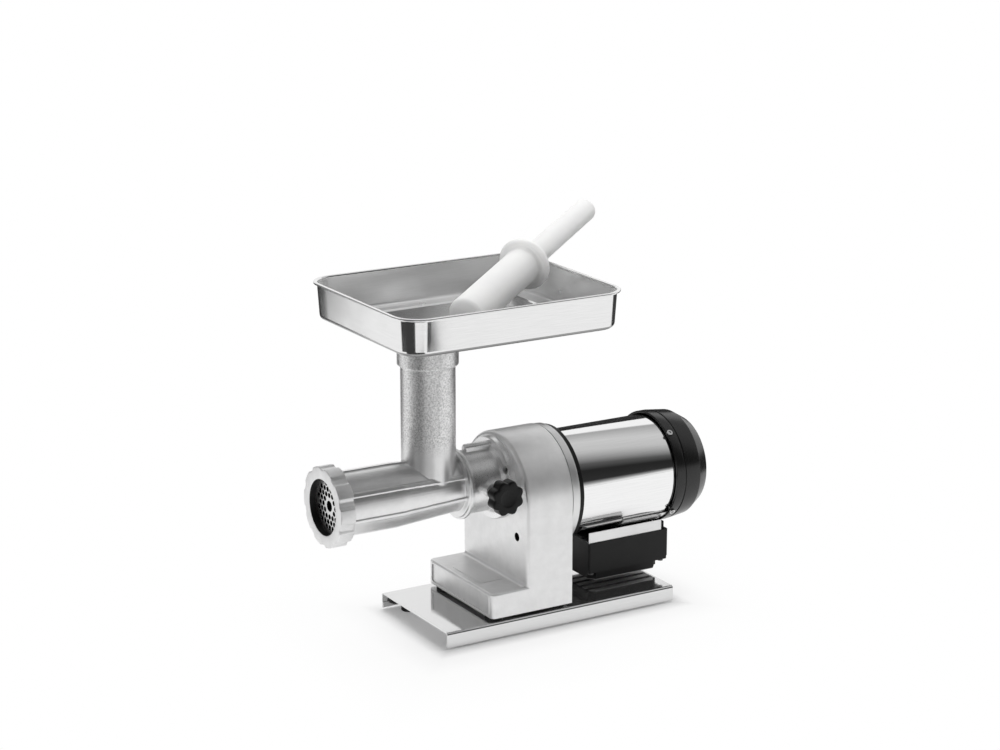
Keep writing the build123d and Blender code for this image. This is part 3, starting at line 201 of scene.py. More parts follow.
# moulded plastics and rubber: a fine eroded texture
def moulded(name, level, rough, grainSize, depth, shine=0.5):
    finish, tree, shader, place = startFinish(name, 0.0, rough)
    skin = grain(tree, place, grainSize, 4.0)
    cloud = grain(tree, place, 30, 3.0)
    feed(tree, shader, Base_Color=tone(tree, cloud, grey(level), grey(level * 1.18 + 0.001)),
         Roughness=spread(tree, skin, rough * 0.85, rough * 1.2))
    relief(tree, shader, skin, 0.4, depth)
    shader.inputs["Specular IOR Level"].default_value = shine
    return finish


baseSheet = drawnMetal("mirrorBaseSheet", 0.76, 0.09, (0.02, 1, 1), 0.9, 0.004, metal=0.95)
traySheet = drawnMetal("polishedTraySheet", 0.84, 0.13, (0.03, 0.03, 1), 0.7, 0.003)
# underside of the lower bend: dull, and painted dark grey as painted shade
trayUnderDullShaded = drawnMetal("dullTrayUndersidePaintedShade", 0.34, 0.3, (0.03, 0.03, 1), 0.7, 0.006)
trayInside = drawnMetal("satinTrayInside", 0.95, 0.22, (0.03, 0.03, 1), 0.7, 0.006, metal=0.66)
tubeSheet = drawnMetal("mirrorMotorTube", 0.9, 0.07, (0.02, 1, 1), 0.8, 0.002)
saddleSheet = drawnMetal("brushedSaddleSteel", 0.8, 0.3, (0.03, 1, 1), 0.5, 0.01)
socketAluminium = castMetal("turnedSocketAluminium", 0.9, 0.3, 0.5, 0.012, 0.05, metal=0.86)
bladeSteel = drawnMetal("groundBladeSteel", 0.5, 0.28, (1, 0.05, 1), 0.4, 0.01)
gearSteel = drawnMetal("machinedGearSteel", 0.45, 0.3, (1, 0.05, 0.05), 0.5, 0.01)
screwSteel = drawnMetal("brightScrewSteel", 0.62, 0.22, (1, 1, 0.2), 0.4, 0.006)
plateAluminium = drawnMetal("bareTypePlate", 0.86, 0.38, (1, 0.03, 1), 0.4, 0.006, metal=0.75)
beadAluminium = drawnMetal("rubbedBeadAluminium", 0.95, 0.4, (1, 0.1, 1), 0.5, 0.004, metal=0.72)
coreSteel = drawnMetal("laminatedCoreSteel", 0.28, 0.42, (1, 0.02, 0.02), 0.5, 0.02)
flangeAluminium = castMetal("blastedFlangeAluminium", 0.78, 0.36, 0.8, 0.03, 0.05, metal=0.9)
tinnedNut = castMetal("tinnedNutCasting", 0.86, 0.44, 1.0, 0.06, 0.1, metal=0.82)
# near-black finish for the ring nut's mouth wall: painted shade
nutBorePaintedShade = castMetal("nutBorePaintedShade", 0.05, 0.5, 1.0, 0.05)
darkScrewSteel = drawnMetal("darkScrewSteel", 0.12, 0.4, (1, 1, 0.2), 0.4, 0.006)
tinnedAuger = castMetal("tinnedAugerCasting", 0.66, 0.36, 1.1, 0.05)
windingCopper = castMetal("lacqueredCopper", 1.0, 0.3, 0.6, 0.05, 0.2, tint=(0.62, 0.26, 0.13))
bushBronze = castMetal("bushBronze", 1.0, 0.3, 0.5, 0.01, 0.2, tint=(0.6, 0.4, 0.18))
coverBlack = moulded("satinCoverBlack", 0.006, 0.22, 0.5, 0.005, shine=0.45)
ringBlack = moulded("satinRingBlack", 0.006, 0.34, 0.5, 0.006, shine=0.2)
boxBlack = moulded("grainedBoxBlack", 0.008, 0.45, 0.45, 0.02, shine=0.25)
knobBlack = moulded("glossKnobBlack", 0.004, 0.3, 0.7, 0.004, shine=0.2)
footRubber = moulded("footRubber", 0.01, 0.7, 0.6, 0.03, shine=0.2)
innerBlack = moulded("plainInnerBlack", 0.02, 0.5, 0.6, 0.01)


def recolour(finish, value, start, end, level):
    # a plain grey where the value is under start, the finish's own colour past end
    tree = finish.node_tree
    shader = tree.nodes["Principled BSDF"]
    given = shader.inputs["Base Color"].links[0].from_socket
    share = spread(tree, value, 0.0, 1.0, start, end)
    tree.links.new(mixColours(tree, share, (*grey(level), 1), given), shader.inputs["Base Color"])


def alongMachine(tree):  # how far a face looks along the machine, from -1 to 1
    normal = tree.nodes.new("ShaderNodeNewGeometry").outputs["True Normal"]
    return vectorStep(tree, "DOT_PRODUCT", normal, (1, 0, 0))


def makePlateSteel():  # ground faces, with painted shade on the hole walls
    finish = drawnMetal("groundPlateSteel", 0.8, 0.3, (1, 0.05, 1), 0.4, 0.008)
    tree = finish.node_tree
    # painted shade: near black on faces that don't look along the machine, the hole walls among them
    recolour(finish, mathStep(tree, "ABSOLUTE", alongMachine(tree)), 0.35, 0.75, 0.02)
    return finish


def makeBracketSheet():  # brushed, with painted shade on the end that looks at the housing
    finish = drawnMetal("brushedBracketSteel", 0.78, 0.34, (0.03, 1, 1), 0.5, 0.01)
    # painted shade: near black on faces that look toward the housing
    recolour(finish, alongMachine(finish.node_tree), -0.9, -0.5, 0.03)
    return finish


# painted light on the lowest crests of the lid's ribs, standing in for light bounced up from the base plate:
# its grey, and the heights in mm over which it ends
lidRibsPaintedLight = {"grey": 0.42, "crest": 0.2, "fade": 1.2}


def makeLidBlack():
    finish = moulded("ribbedLidBlack", 0.008, 0.45, 0.45, 0.02, shine=0.25)
    tree = finish.node_tree
    height = split(tree, tree.nodes.new("ShaderNodeTexCoord").outputs["Object"])["Z"]
    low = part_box("box_lid")[0][2]
    # painted light: the lowest rib crests are grey, so the base plate mirrors them as lit
    recolour(finish, height, low + lidRibsPaintedLight["crest"] * mm, low + lidRibsPaintedLight["fade"] * mm, lidRibsPaintedLight["grey"])
    return finish


# plain hole in the housing's front, its inside painted near black as painted shade; from the centre plane
# and the base plate's top
plugHolePaintedShade = {"side": -51.0, "rise": 89.3, "radius": 5.1, "fade": 0.2, "black": 0.01}


def makeBlastedAluminium():
    finish = castMetal("blastedHousingAluminium", 0.9, 0.4, 0.9, 0.05, 0.08, metal=0.72)
    tree = finish.node_tree
    low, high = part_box("gear_housing")
    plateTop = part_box("base_plate")[1][2]
    hole = (0, (low[1] + high[1]) / 2 + plugHolePaintedShade["side"] * mm, plateTop + plugHolePaintedShade["rise"] * mm)
    away = vectorStep(tree, "SUBTRACT", tree.nodes.new("ShaderNodeTexCoord").outputs["Object"], hole)
    away = vectorStep(tree, "LENGTH", vectorStep(tree, "MULTIPLY", away, (0, 1, 1)))
    radius = plugHolePaintedShade["radius"] * mm
    # painted shade: near black within the hole's radius
    recolour(finish, away, radius, radius + plugHolePaintedShade["fade"] * mm, plugHolePaintedShade["black"])
    return finish


# head skin: sand grain on the neck, a finer one on the barrel; grains, depth and heights in mm
headGrain = {"neckFrom": 215.0, "neckTo": 235.0, "sand": 1.8, "fine": 2.2, "cloud": 16.0, "depth": 0.14}


def makeHeadSkin():
    c = headGrain
    finish, tree, shader, place = startFinish("tinnedHeadCasting", 0.9, 0.36)
    upper = spread(tree, split(tree, place)["Z"], 0.0, 1.0, c["neckFrom"] * mm, c["neckTo"] * mm)
    sand = grain(tree, place, c["sand"], 5.0)
    fine = grain(tree, place, c["fine"], 4.0)
    cloud = grain(tree, place, c["cloud"], 3.0)
    barrelColour = tone(tree, cloud, grey(0.8), grey(0.88))
    neckColour = tone(tree, sand, grey(0.5), grey(0.92), 0.34, 0.62)
    feed(tree, shader, Base_Color=mixColours(tree, upper, barrelColour, neckColour),
         Roughness=spread(tree, upper, 0.34, 0.37, 0.0, 1.0))
    mixed = tree.nodes.new("ShaderNodeMix")
    tree.links.new(upper, mixed.inputs["Factor"])
    tree.links.new(fine, mixed.inputs["A"])
    tree.links.new(sand, mixed.inputs["B"])
    bump = relief(tree, shader, mixed.outputs["Result"], 0.6, c["depth"])
    tree.links.new(spread(tree, upper, 0.3, 0.9, 0.0, 1.0), bump.inputs["Strength"])
    return finish


def makePusherPlastic():  # white plastic that lets a little light through
    finish, tree, shader, place = startFinish("milkyPusherPlastic", 0.0, 0.34)
    cloud = grain(tree, place, 40, 3.0)
    scuffs = grain(tree, place, 1.2, 4.0, (0.3, 0.3, 1))
    feed(tree, shader, Base_Color=tone(tree, cloud, grey(0.75), (0.79, 0.79, 0.78)),
         Roughness=spread(tree, scuffs, 0.28, 0.42))
    relief(tree, shader, scuffs, 0.2, 0.02)
    shader.inputs["Subsurface Weight"].default_value = 0.6
    shader.inputs["Subsurface Radius"].default_value = (1.0, 1.0, 1.0)
    shader.inputs["Subsurface Scale"].default_value = 0.025
    return finish


plateSteel = makePlateSteel()
bracketSheet = makeBracketSheet()
lidBlack = makeLidBlack()
blastedAluminium = makeBlastedAluminium()
headSkin = makeHeadSkin()
pusherPlastic = makePusherPlastic()
print("finishes made:", len(bpy.data.materials))


# mesh tools: rounded lines, lofted rings and finished pieces
def rounded(corners, steps=5, closed=True):
    # corners are (along, out, radius); each becomes an arc
    line = []
    count = len(corners)
    for i, (x, y, radius) in enumerate(corners):
        tip = Vector((x, y))
        ends = not closed and i in (0, count - 1)
        if radius <= 0 or ends:
            line.append(tip)
            continue
        back = Vector(corners[i - 1][:2]) - tip
        on = Vector(corners[(i + 1) % count][:2]) - tip
        room = min(back.length, on.length) * 0.495
        back.normalize()
        on.normalize()
        half = back.angle(on) / 2
        cut = min(radius / math.tan(half), room)
        centre = tip + (back + on).normalized() * (cut / math.cos(half))
        first, last = tip + back * cut - centre, tip + on * cut - centre
        turn = first.angle(last)
        for k in range(steps + 1):
            share = k / steps
            line.append(centre + (first * math.sin((1 - share) * turn) + last * math.sin(share * turn))
                        / math.sin(turn))
    return line


def loft(bm, loops, closed=True):
    rings = [[bm.verts.new(point) for point in loop] for loop in loops]
    pairs = list(zip(rings, rings[1:])) + ([(rings[-1], rings[0])] if closed else [])
    for low, high in pairs:
        for i in range(len(low)):
            j = (i + 1) % len(low)
            corners = [low[i], low[j], high[j], high[i]]
            corners = [v for k, v in enumerate(corners) if v not in corners[:k]]
            if len(corners) > 2:
                bm.faces.new(corners)
    return rings


def lathe(bm, line, frameMatrix, steps=160, closed=True):
    # a line of (along, out) turned about the local X axis
    loops = []
    for x, out in line:
        turns = (2 * math.pi * i / steps for i in range(steps))
        loops.append([frameMatrix @ Vector((x, out * math.cos(a), out * math.sin(a))) for a in turns])
    return loft(bm, loops, closed)


def finishPiece(name, bm, finish, body, replaced=(), sharp=35):
    bmesh.ops.remove_doubles(bm, verts=bm.verts, dist=mergeReach)
    bmesh.ops.recalc_face_normals(bm, faces=bm.faces)
    mesh = bpy.data.meshes.new(name)
    bm.to_mesh(mesh)
    bm.free()
    return finishMesh(name, mesh, finish, body, replaced, sharp)


def finishMesh(name, mesh, finish, body, replaced=(), sharp=35):
    mesh.materials.clear()
    mesh.materials.append(finish)
    for face in mesh.polygons:
        face.use_smooth = True
    if sharp:
        mesh.set_sharp_from_angle(angle=math.radians(sharp))
    piece = bpy.data.objects.new(name, mesh)
    scene.collection.objects.link(piece)
    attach(piece, body)
    if replaced:
        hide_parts(*replaced)
    return piece


def middle(node):
    low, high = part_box(node)
    return (Vector(low) + Vector(high)) / 2


def axisFrame(node):  # X along the machine, through the node's middle
    centre = middle(node)
    return Matrix.Translation((0, centre.y, centre.z))


# motor tube: mirror sheet with turned-in edges
motorTube = {"wall": 1.5, "edge": 0.5, "steps": 256}


def makeMotorTube():
    low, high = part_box("motor_tube")
    out = (high[1] - low[1]) / 2
    wall, edge = motorTube["wall"] * mm, motorTube["edge"] * mm
    bm = bmesh.new()
    line = rounded([(low[0], out, edge), (high[0], out, edge),
                    (high[0], out - wall, 0), (low[0], out - wall, 0)])
    lathe(bm, line, axisFrame("motor_tube"), motorTube["steps"])
    return finishPiece("motor_tube_skin", bm, tubeSheet, "frame", ("motor_tube",))


# fan cover: sleeve, groove, tapered drum and a slotted rear grille
fanCover = {"sleeve": 11.4, "groove": 2.4, "grooveDepth": 1.4, "step": 0.4, "midOut": 65.0,
            "midAlong": 35.5, "rearOut": 54.7, "wall": 2.6, "grilleOut": 50.0, "grilleSink": 0.5,
            "grilleLap": 0.2, "hub": 9.0, "slots": 24, "slotIn": 18.0, "slotOut": 46.0,
            "slotWidth": 3.0, "lipRound": 0.8, "grooveRound": 0.3, "midRound": 2.0,
            "rearRound": 3.0, "grilleRound": 0.4, "inRound": 1.0, "roundSteps": 6, "steps": 192}


def makeFanCover():
    low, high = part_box("fan_cover")
    c = {key: value * mm for key, value in fanCover.items()}
    out = (high[1] - low[1]) / 2
    x0, x1 = low[0], high[0]
    grooveX, midX, backX = x0 + c["sleeve"], x0 + c["midAlong"], x1 - c["wall"]
    line = rounded([
        (x0, out, c["lipRound"]), (grooveX, out, c["lipRound"]),
        (grooveX, out - c["grooveDepth"], c["grooveRound"]),
        (grooveX + c["groove"], out - c["grooveDepth"], c["grooveRound"]),
        (grooveX + c["groove"], out - c["step"], c["lipRound"]), (midX, c["midOut"], c["midRound"]),
        (x1, c["rearOut"], c["rearRound"]), (x1, c["grilleOut"], c["grilleRound"]),
        (backX, c["grilleOut"], 0), (backX, c["rearOut"] - c["wall"], c["inRound"]),
        (midX, c["midOut"] - c["wall"], c["inRound"]), (x0, out - c["wall"], 0)], fanCover["roundSteps"])
    bm = bmesh.new()
    place = axisFrame("fan_cover")
    lathe(bm, line, place, fanCover["steps"])
    addGrille(bm, place, x1 - c["grilleSink"], c)
    return finishPiece("fan_cover_shell", bm, coverBlack, "frame", ("fan_cover",))


def addGrille(bm, place, x, c):
    half, slots = c["slotWidth"] / 2, fanCover["slots"]
    inner, outer, edge = c["slotIn"], c["slotOut"], c["grilleOut"] + c["grilleLap"]
    ends = [half * (1 - math.cos(math.radians(a))) for a in (0, 30, 60, 90)]
    radii = [inner + e for e in ends] + [outer - e for e in reversed(ends)]

    def slotHalf(radius):
        cut = max(inner + half - radius, radius - outer + half, 0)
        return math.sqrt(max(half * half - cut * cut, 0))

    pitch = 2 * math.pi / slots
    rings = [c["hub"]] + radii + [edge]
    grid = {}
    faces = []
    for k in range(slots):
        for i, radius in enumerate(rings):
            width = slotHalf(radius) if 0 < i < len(rings) - 1 else half
            side = math.asin(width / radius)
            for j, turn in enumerate((-pitch / 2, -side, side)):
                a = k * pitch + turn
                spot = Vector((x, radius * math.cos(a), radius * math.sin(a)))
                grid[k, i, j] = bm.verts.new(place @ spot)
    for k in range(slots):
        for i in range(len(rings) - 1):
            for j in range(3):
                if j == 1 and 0 < i < len(rings) - 2:
                    continue
                on = (k, j + 1) if j < 2 else ((k + 1) % slots, 0)
                faces.append(bm.faces.new([grid[k, i, j], grid[on[0], i, on[1]],
                                           grid[on[0], i + 1, on[1]], grid[k, i + 1, j]]))
    hub = [grid[k, 0, j] for k in range(slots) for j in range(3)]
    faces.append(bm.faces.new(hub))
    bmesh.ops.remove_doubles(bm, verts=list(grid.values()), dist=mergeReach)
    grown = bmesh.ops.extrude_face_region(bm, geom=[f for f in faces if f.is_valid])
    moved = [v for v in grown["geom"] if isinstance(v, bmesh.types.BMVert)]
    bmesh.ops.translate(bm, verts=moved, vec=(-c["wall"] + c["grilleSink"], 0, 0))


# ring nut: blocky grips round a plain mouth
ringNut = {"mouth": 32.5, "lip": 8.7, "bore": 40.3, "grips": 10, "valley": 2.3, "slopeFrom": 0.162,
           "slope": 0.324, "edge": 1.2, "face": 2.6, "boreRound": 0.6, "steps": 400,
           "mouthRound": ((0.9, 0.0), (0.3, 0.3), (0.0, 1.0))}   # behind the front, outside the mouth


def gripOutline(out, c, inset):
    points = []
    for i in range(c["steps"]):
        a = 2 * math.pi * i / c["steps"]
        spot = (a * c["grips"] / (2 * math.pi)) % 1.0
        away = abs(spot - 0.5) / 0.5                      # 0 in the valley's middle
        rise = min(max((away - c["slopeFrom"]) / c["slope"], 0), 1)
        rise = rise * rise * (3 - 2 * rise)
        points.append((a, out - c["valley"] * mm * (1 - rise) - inset))
    return points


def makeRingNut():
    low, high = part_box("ring_nut")
    c = ringNut
    place = axisFrame("ring_nut")
    out = (high[1] - low[1]) / 2
    x0, x1, edge = low[0], high[0], c["edge"] * mm
    mouth, bore, lip = c["mouth"] * mm, c["bore"] * mm, c["lip"] * mm

    def gripLoop(x, inset):
        return [place @ Vector((x, r * math.cos(a), r * math.sin(a)))
                for a, r in gripOutline(out, c, inset)]

    def plainLoop(x, radius):
        turns = (2 * math.pi * i / c["steps"] for i in range(c["steps"]))
        return [place @ Vector((x, radius * math.cos(a), radius * math.sin(a))) for a in turns]

    arc = [(1 - math.cos(math.radians(t)), 1 - math.sin(math.radians(t))) for t in (0, 22, 45, 68, 90)]
    chamfer = c["boreRound"] * mm
    loops = [plainLoop(x0 + lip, mouth)]
    loops += [plainLoop(x0 + back * mm, mouth + wide * mm) for back, wide in c["mouthRound"]]
    loops += [plainLoop(x0, out - (c["valley"] + c["face"]) * mm)]
    loops += [gripLoop(x0 + s * edge, t * edge) for s, t in arc]
    loops += [gripLoop(x1 - s * edge, t * edge) for s, t in reversed(arc)]
    loops += [plainLoop(x1, bore + chamfer), plainLoop(x1 - chamfer, bore), plainLoop(x0 + lip, bore)]
    bm = bmesh.new()
    loft(bm, loops)
    piece = finishPiece("ring_nut_casting", bm, tinnedNut, "front_nut", ("ring_nut",), 50)
    piece.data.materials.append(nutBorePaintedShade)
    axis = place.translation
    darkFrom, darkOut = (size * mm for size in c["mouthRound"][1])
    for face in piece.data.polygons:                      # the mouth's wall gets the near-black finish, painted shade in the recess
        spot = face.center
        if math.hypot(spot.y - axis.y, spot.z - axis.z) < mouth + darkOut and spot.x > x0 + darkFrom:
            face.material_index = 1
    return piece


# clamp knob: lobed grip with a domed face and a hub behind it
clampKnob = {"lobes": 8, "out": 21.1, "web": 18.0, "lobePower": 0.75, "thick": 16.0, "hubOut": 8.5,
             "hubFillet": 0.6, "hubRound": 0.5, "bore": 4.1, "round": 2.5, "rearRound": 2.0, "steps": 256,
             "dish": ((0.6, 0.4), (0.6, 9.4), (0.1, 10.4), (0.0, 11.0))}   # behind the front, off the axis


def makeClampKnob():
    low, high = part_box("clamp_knob")
    c = clampKnob
    centre = middle("clamp_knob")
    front, rear = low[1], high[1]
    gripRear = front + c["thick"] * mm
    bend, rearBend = c["round"] * mm, c["rearRound"] * mm
    hub, hubFillet, hubRound = c["hubOut"] * mm, c["hubFillet"] * mm, c["hubRound"] * mm

    def lobeLoop(y, inset):
        loop = []
        for i in range(c["steps"]):
            a = 2 * math.pi * i / c["steps"]
            wave = 0.5 - 0.5 * math.cos(c["lobes"] * a)
            r = (c["web"] + (c["out"] - c["web"]) * wave ** c["lobePower"]) * mm - inset
            loop.append(Vector((centre.x + r * math.cos(a), y, centre.z + r * math.sin(a))))
        return loop

    def roundLoop(y, r):
        turns = (2 * math.pi * i / c["steps"] for i in range(c["steps"]))
        return [Vector((centre.x + r * math.cos(a), y, centre.z + r * math.sin(a))) for a in turns]

    arc = [(1 - math.sin(math.radians(t)), 1 - math.cos(math.radians(t))) for t in (0, 18, 36, 54, 72, 90)]
    loops = [roundLoop(front + back * mm, wide * mm) for back, wide in c["dish"]]
    loops += [lobeLoop(front + d * bend, e * bend) for d, e in reversed(arc)]
    loops += [lobeLoop(gripRear - d * rearBend, e * rearBend) for d, e in arc]
    loops += [roundLoop(gripRear, hub + hubFillet), roundLoop(gripRear + hubFillet, hub)]
    loops += [roundLoop(rear - hubRound, hub), roundLoop(rear, hub - hubRound)]
    loops += [roundLoop(rear, c["bore"] * mm)]
    bm = bmesh.new()
    rings = loft(bm, loops, False)
    bm.faces.new(rings[0])
    bm.faces.new(rings[-1])
    return finishPiece("clamp_knob_grip", bm, knobBlack, "clamp_grip", ("clamp_knob",))


# feed tray: deep-drawn pan with a rolled lip, a sunk floor and a collar in the neck
feedTray = {"lip": 4.0, "lipHeight": 2.6, "corner": 34.0, "sheet": 1.0, "draft": 3.0, "bend": 6.0,
            "height": 44.8, "panelInset": 21.0, "panelDrop": 2.0, "panelCorner": 17.2,
            "collarOut": 26.2, "collarLength": 14.0, "lipGap": 0.2, "lipFillet": 1.0, "hold": 0.6}
trayCount = {"corner": 16, "side": 10, "lip": 10}         # steps round a corner, along a side, round the lip
# rounded edges of the pan: (in from the wall, below the rim), (below the panel, outside the collar),
# and (inside the panel's outline, share of the panel's drop) above and below
trayEdges = {"rim": ((0.0, 1.6), (0.25, 0.6), (0.9, 0.0)),
             "collar": ((1.6, 0.0), (0.5, 0.5), (0.0, 1.7), (0.0, 5.0)),
             "panel": ((3.2, 0.0), (2.0, 0.125), (0.8, 0.85), (-0.6, 1.0)),
             "under": ((-1.2, 1.0), (0.4, 0.15), (1.6, 0.0)),
             "collarUnder": ((0.0, 3.0), (1.0, 0.0))}


def trayLoop(centre, half, corner, z):
    # rounded rectangle, counterclockwise from one end of a corner's arc
    points = []
    for k, (sx, sy) in enumerate(((1, 1), (-1, 1), (-1, -1), (1, -1))):
        spin = Vector((centre.x + sx * (half[0] - corner), centre.y + sy * (half[1] - corner), z))
        for i in range(trayCount["corner"] + 1):
            a = math.pi / 2 * (k + i / trayCount["corner"])
            points.append(spin + Vector((corner * math.cos(a), corner * math.sin(a), 0)))
    full = []
    for i, point in enumerate(points):
        full.append(point)
        if (i + 1) % (trayCount["corner"] + 1) == 0:
            on = points[(i + 1) % len(points)]
            full += [point.lerp(on, j / trayCount["side"]) for j in range(1, trayCount["side"])]
    return full


def makeTray():
    low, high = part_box("tray")
    c = {key: value * mm for key, value in feedTray.items()}
    centre = middle("tray")
    outer = ((high[0] - low[0]) / 2, (high[1] - low[1]) / 2)
    top = high[2]
    border = top - c["height"]                            # underside of the floor's border
    neck = Vector((headNeckX(), joints["nut_unscrew"]["pos_m"][1], 0))

    def wallLoop(inset, z):
        fall = c["draft"] * (top - z) / c["height"]
        edge = c["lip"] + inset + fall
        return trayLoop(centre, (outer[0] - edge, outer[1] - edge), c["corner"] - edge, z)

    def floorLoop(inset, z):
        edge = c["lip"] + c["draft"] + c["panelInset"] + inset
        return trayLoop(centre, (outer[0] - edge, outer[1] - edge), c["panelCorner"] - inset, z)

    def bendLoops(inset, floor, bend):
        # the floor turning up into the wall
        loops = []
        for t in range(90, -1, -15):
            a = math.radians(t)
            z = floor + bend * (1 - math.sin(a))
            edge = c["lip"] + inset + c["draft"] * (top - z) / c["height"] + bend * (1 - math.cos(a))
            loops.append(trayLoop(centre, (outer[0] - edge, outer[1] - edge), c["corner"] - edge, z))
        return loops

    def ringLoop(radius, z):
        turns = np.unwrap([math.atan2(point.y - neck.y, point.x - neck.x) for point in floorLoop(0, z)])
        even = np.arange(len(turns)) * 2 * math.pi / len(turns)
        even += (turns - even).mean()                     # evenly round the hole, little twist to the panel
        return [Vector((neck.x + radius * math.cos(a), neck.y + radius * math.sin(a), z)) for a in even]

    def lipLoops():
        # rolled edge: out from the wall, round the rim and back under it
        edge = c["lipHeight"] / 2
        loops = []
        for k in range(trayCount["lip"] + 1):
            a = math.radians(90 - 180 * k / trayCount["lip"])
            out = edge * (1 - math.cos(a))
            loops.append(trayLoop(centre, (outer[0] - out, outer[1] - out), c["corner"] - out,
                                  top - edge + edge * math.sin(a)))
        return loops

    sheet, drop, collar = c["sheet"], c["panelDrop"], c["collarOut"]
    hold = c["hold"]                                      # loops held near the bends keep the walls flat
    innerFloor, panelTop, panelLow = border + sheet, border - drop + sheet, border - drop
    collarIn, collarLow = collar - sheet, border - drop - c["collarLength"]
    rimStart = top - trayEdges["rim"][0][1] * mm
    lipEnd = top - c["lipHeight"] - c["lipFillet"]
    loops = [ringLoop(collarIn, collarLow)]
    loops += [ringLoop(collarIn + wide * mm, panelTop - deep * mm) for deep, wide in trayEdges["collar"]]
    loops += [floorLoop(inset * mm, panelTop + share * drop) for inset, share in trayEdges["panel"]]
    loops += bendLoops(sheet, innerFloor, c["bend"] - sheet)
    loops += [wallLoop(sheet, border + c["bend"] + hold), wallLoop(sheet, rimStart - hold)]
    loops += [wallLoop(sheet - inset * mm, top - deep * mm) for inset, deep in trayEdges["rim"]]
    loops += lipLoops()
    loops += [wallLoop(c["lipGap"] - sheet, top - c["lipHeight"]), wallLoop(0, lipEnd)]
    loops += [wallLoop(0, lipEnd - hold), wallLoop(0, border + c["bend"] + hold)]
    loops += reversed(bendLoops(0, border, c["bend"]))
    loops += [floorLoop(inset * mm, panelLow + share * drop) for inset, share in trayEdges["under"]]
    loops += [ringLoop(collar + wide * mm, panelLow - deep * mm) for deep, wide in trayEdges["collarUnder"]]
    loops += [ringLoop(collar, collarLow)]
    bm = bmesh.new()
    loft(bm, loops)
    piece = finishPiece("tray_pan", bm, traySheet, "feed_tray", ("tray",), 50)
    piece.data.materials.append(trayInside)
    piece.data.materials.append(trayUnderDullShaded)
    level = 0.3                                           # faces that look up or down by more than this
    for face in piece.data.polygons:                      # satin inside, polished outside, dull and painted dark below as painted shade
        inward = face.normal.xy.dot((centre - face.center).xy) > 0 or face.normal.z > level
        if inward and border < face.center.z < top - c["lipHeight"]:
            face.material_index = 1
        # downward faces of the lower bend get the painted shade finish
        elif face.normal.z < -level and face.center.z < border + c["bend"]:
            face.material_index = 2
    return piece


def headNeckX():  # the neck's middle, from the points of the casting's top rim
    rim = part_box("head_casting")[1][2]
    points = [v.co.x for v in nodes["head_casting"].data.vertices if v.co.z > rim - weldReach]
    return (min(points) + max(points)) / 2


# pusher: turned rod with a round foot, a stop flange and a handle
pusherRod = {"foot": 21.9, "body": 150.8, "flange": 32.0, "flangeThick": 10.0, "handle": 14.0,
             "grip": 172.9, "footRound": 5.0, "flangeRound": 4.6, "fillet": 5.0, "endRound": 6.0,
             "footTaper": 0.3, "middle": 0.4, "roundSteps": 9, "steps": 128}


def makePusher():
    c = {key: value * mm for key, value in pusherRod.items()}
    points = np.array([nodes["pusher"].matrix_world @ v.co for v in nodes["pusher"].data.vertices])
    mid = points.mean(axis=0)
    along = np.linalg.svd(points - mid, full_matrices=False)[2][0]
    along = along if along[0] > 0 else -along
    reach = (points - mid) @ along
    tip = Vector(mid + along * reach.min())
    turn = Vector((1, 0, 0)).rotation_difference(Vector(along)).to_matrix().to_4x4()
    place = Matrix.Translation(tip) @ turn
    f0, f1 = c["body"], c["body"] + c["flangeThick"]
    end = f1 + c["grip"]
    line = rounded([(0, c["middle"], 0), (0, c["foot"] - c["footTaper"], c["footRound"]),
                    (f0, c["foot"], c["fillet"]), (f0, c["flange"], c["flangeRound"]),
                    (f1, c["flange"], c["flangeRound"]), (f1, c["handle"], c["fillet"]),
                    (end, c["handle"], c["endRound"]), (end, c["middle"], 0)],
                   pusherRod["roundSteps"], False)
    bm = bmesh.new()
    rings = lathe(bm, line, place, pusherRod["steps"], False)
    bm.faces.new(rings[0])
    bm.faces.new(rings[-1])
    return finishPiece("pusher_rod", bm, pusherPlastic, "food_pusher", ("pusher",), 60)


# head casting: the solid's own form, with its neck run into the barrel as in a mould
headCasting = {"voxel": 0.65, "smooth": 1, "smoothFactor": 0.5, "blend": 6, "blendFactor": 0.6,
               "low": 8.0, "lowFade": 6.0, "high": 50.0, "highFade": 16.0,
               "out": 42.0, "outFade": 8.0, "bore": 27.5}


def makeHeadCasting():
    c = headCasting
    work = nodes["head_casting"].copy()
    work.data = nodes["head_casting"].data.copy()
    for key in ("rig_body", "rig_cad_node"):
        if key in work:
            del work[key]
    work.parent = None
    scene.collection.objects.link(work)
    weld = work.modifiers.new("weld", "WELD")
    weld.merge_threshold = weldReach
    skin = work.modifiers.new("skin", "REMESH")
    skin.mode = "VOXEL"
    skin.voxel_size = c["voxel"] * mm
    soft = work.modifiers.new("soft", "SMOOTH")
    soft.factor, soft.iterations = c["smoothFactor"], c["smooth"]
    bpy.context.view_layer.update()
    mesh = bpy.data.meshes.new_from_object(work.evaluated_get(bpy.context.evaluated_depsgraph_get()))
    bpy.data.objects.remove(work)
    piece = finishMesh("head_casting_skin", mesh, headSkin, "grinding_head",
                       ("head_casting",), 0)
    axis = joints["nut_unscrew"]["pos_m"]
    neckX = headNeckX()
    junction = piece.vertex_groups.new(name="junction")
    for v in mesh.vertices:                               # full strength where the neck leaves the barrel
        rise = (v.co.z - axis[2]) / mm
        away = math.hypot(v.co.x - neckX, v.co.y - axis[1]) / mm
        low = min(max((rise - c["low"]) / c["lowFade"], 0), 1)
        high = min(max((c["high"] - rise) / c["highFade"], 0), 1)
        wide = min(max((c["out"] - away) / c["outFade"], 0), 1)
        if low * high * wide > 0 and away > c["bore"]:
            junction.add([v.index], low * high * wide, "REPLACE")
    blend = piece.modifiers.new("neckBlend", "SMOOTH")
    blend.factor, blend.iterations, blend.vertex_group = c["blendFactor"], c["blend"], "junction"
    return piece


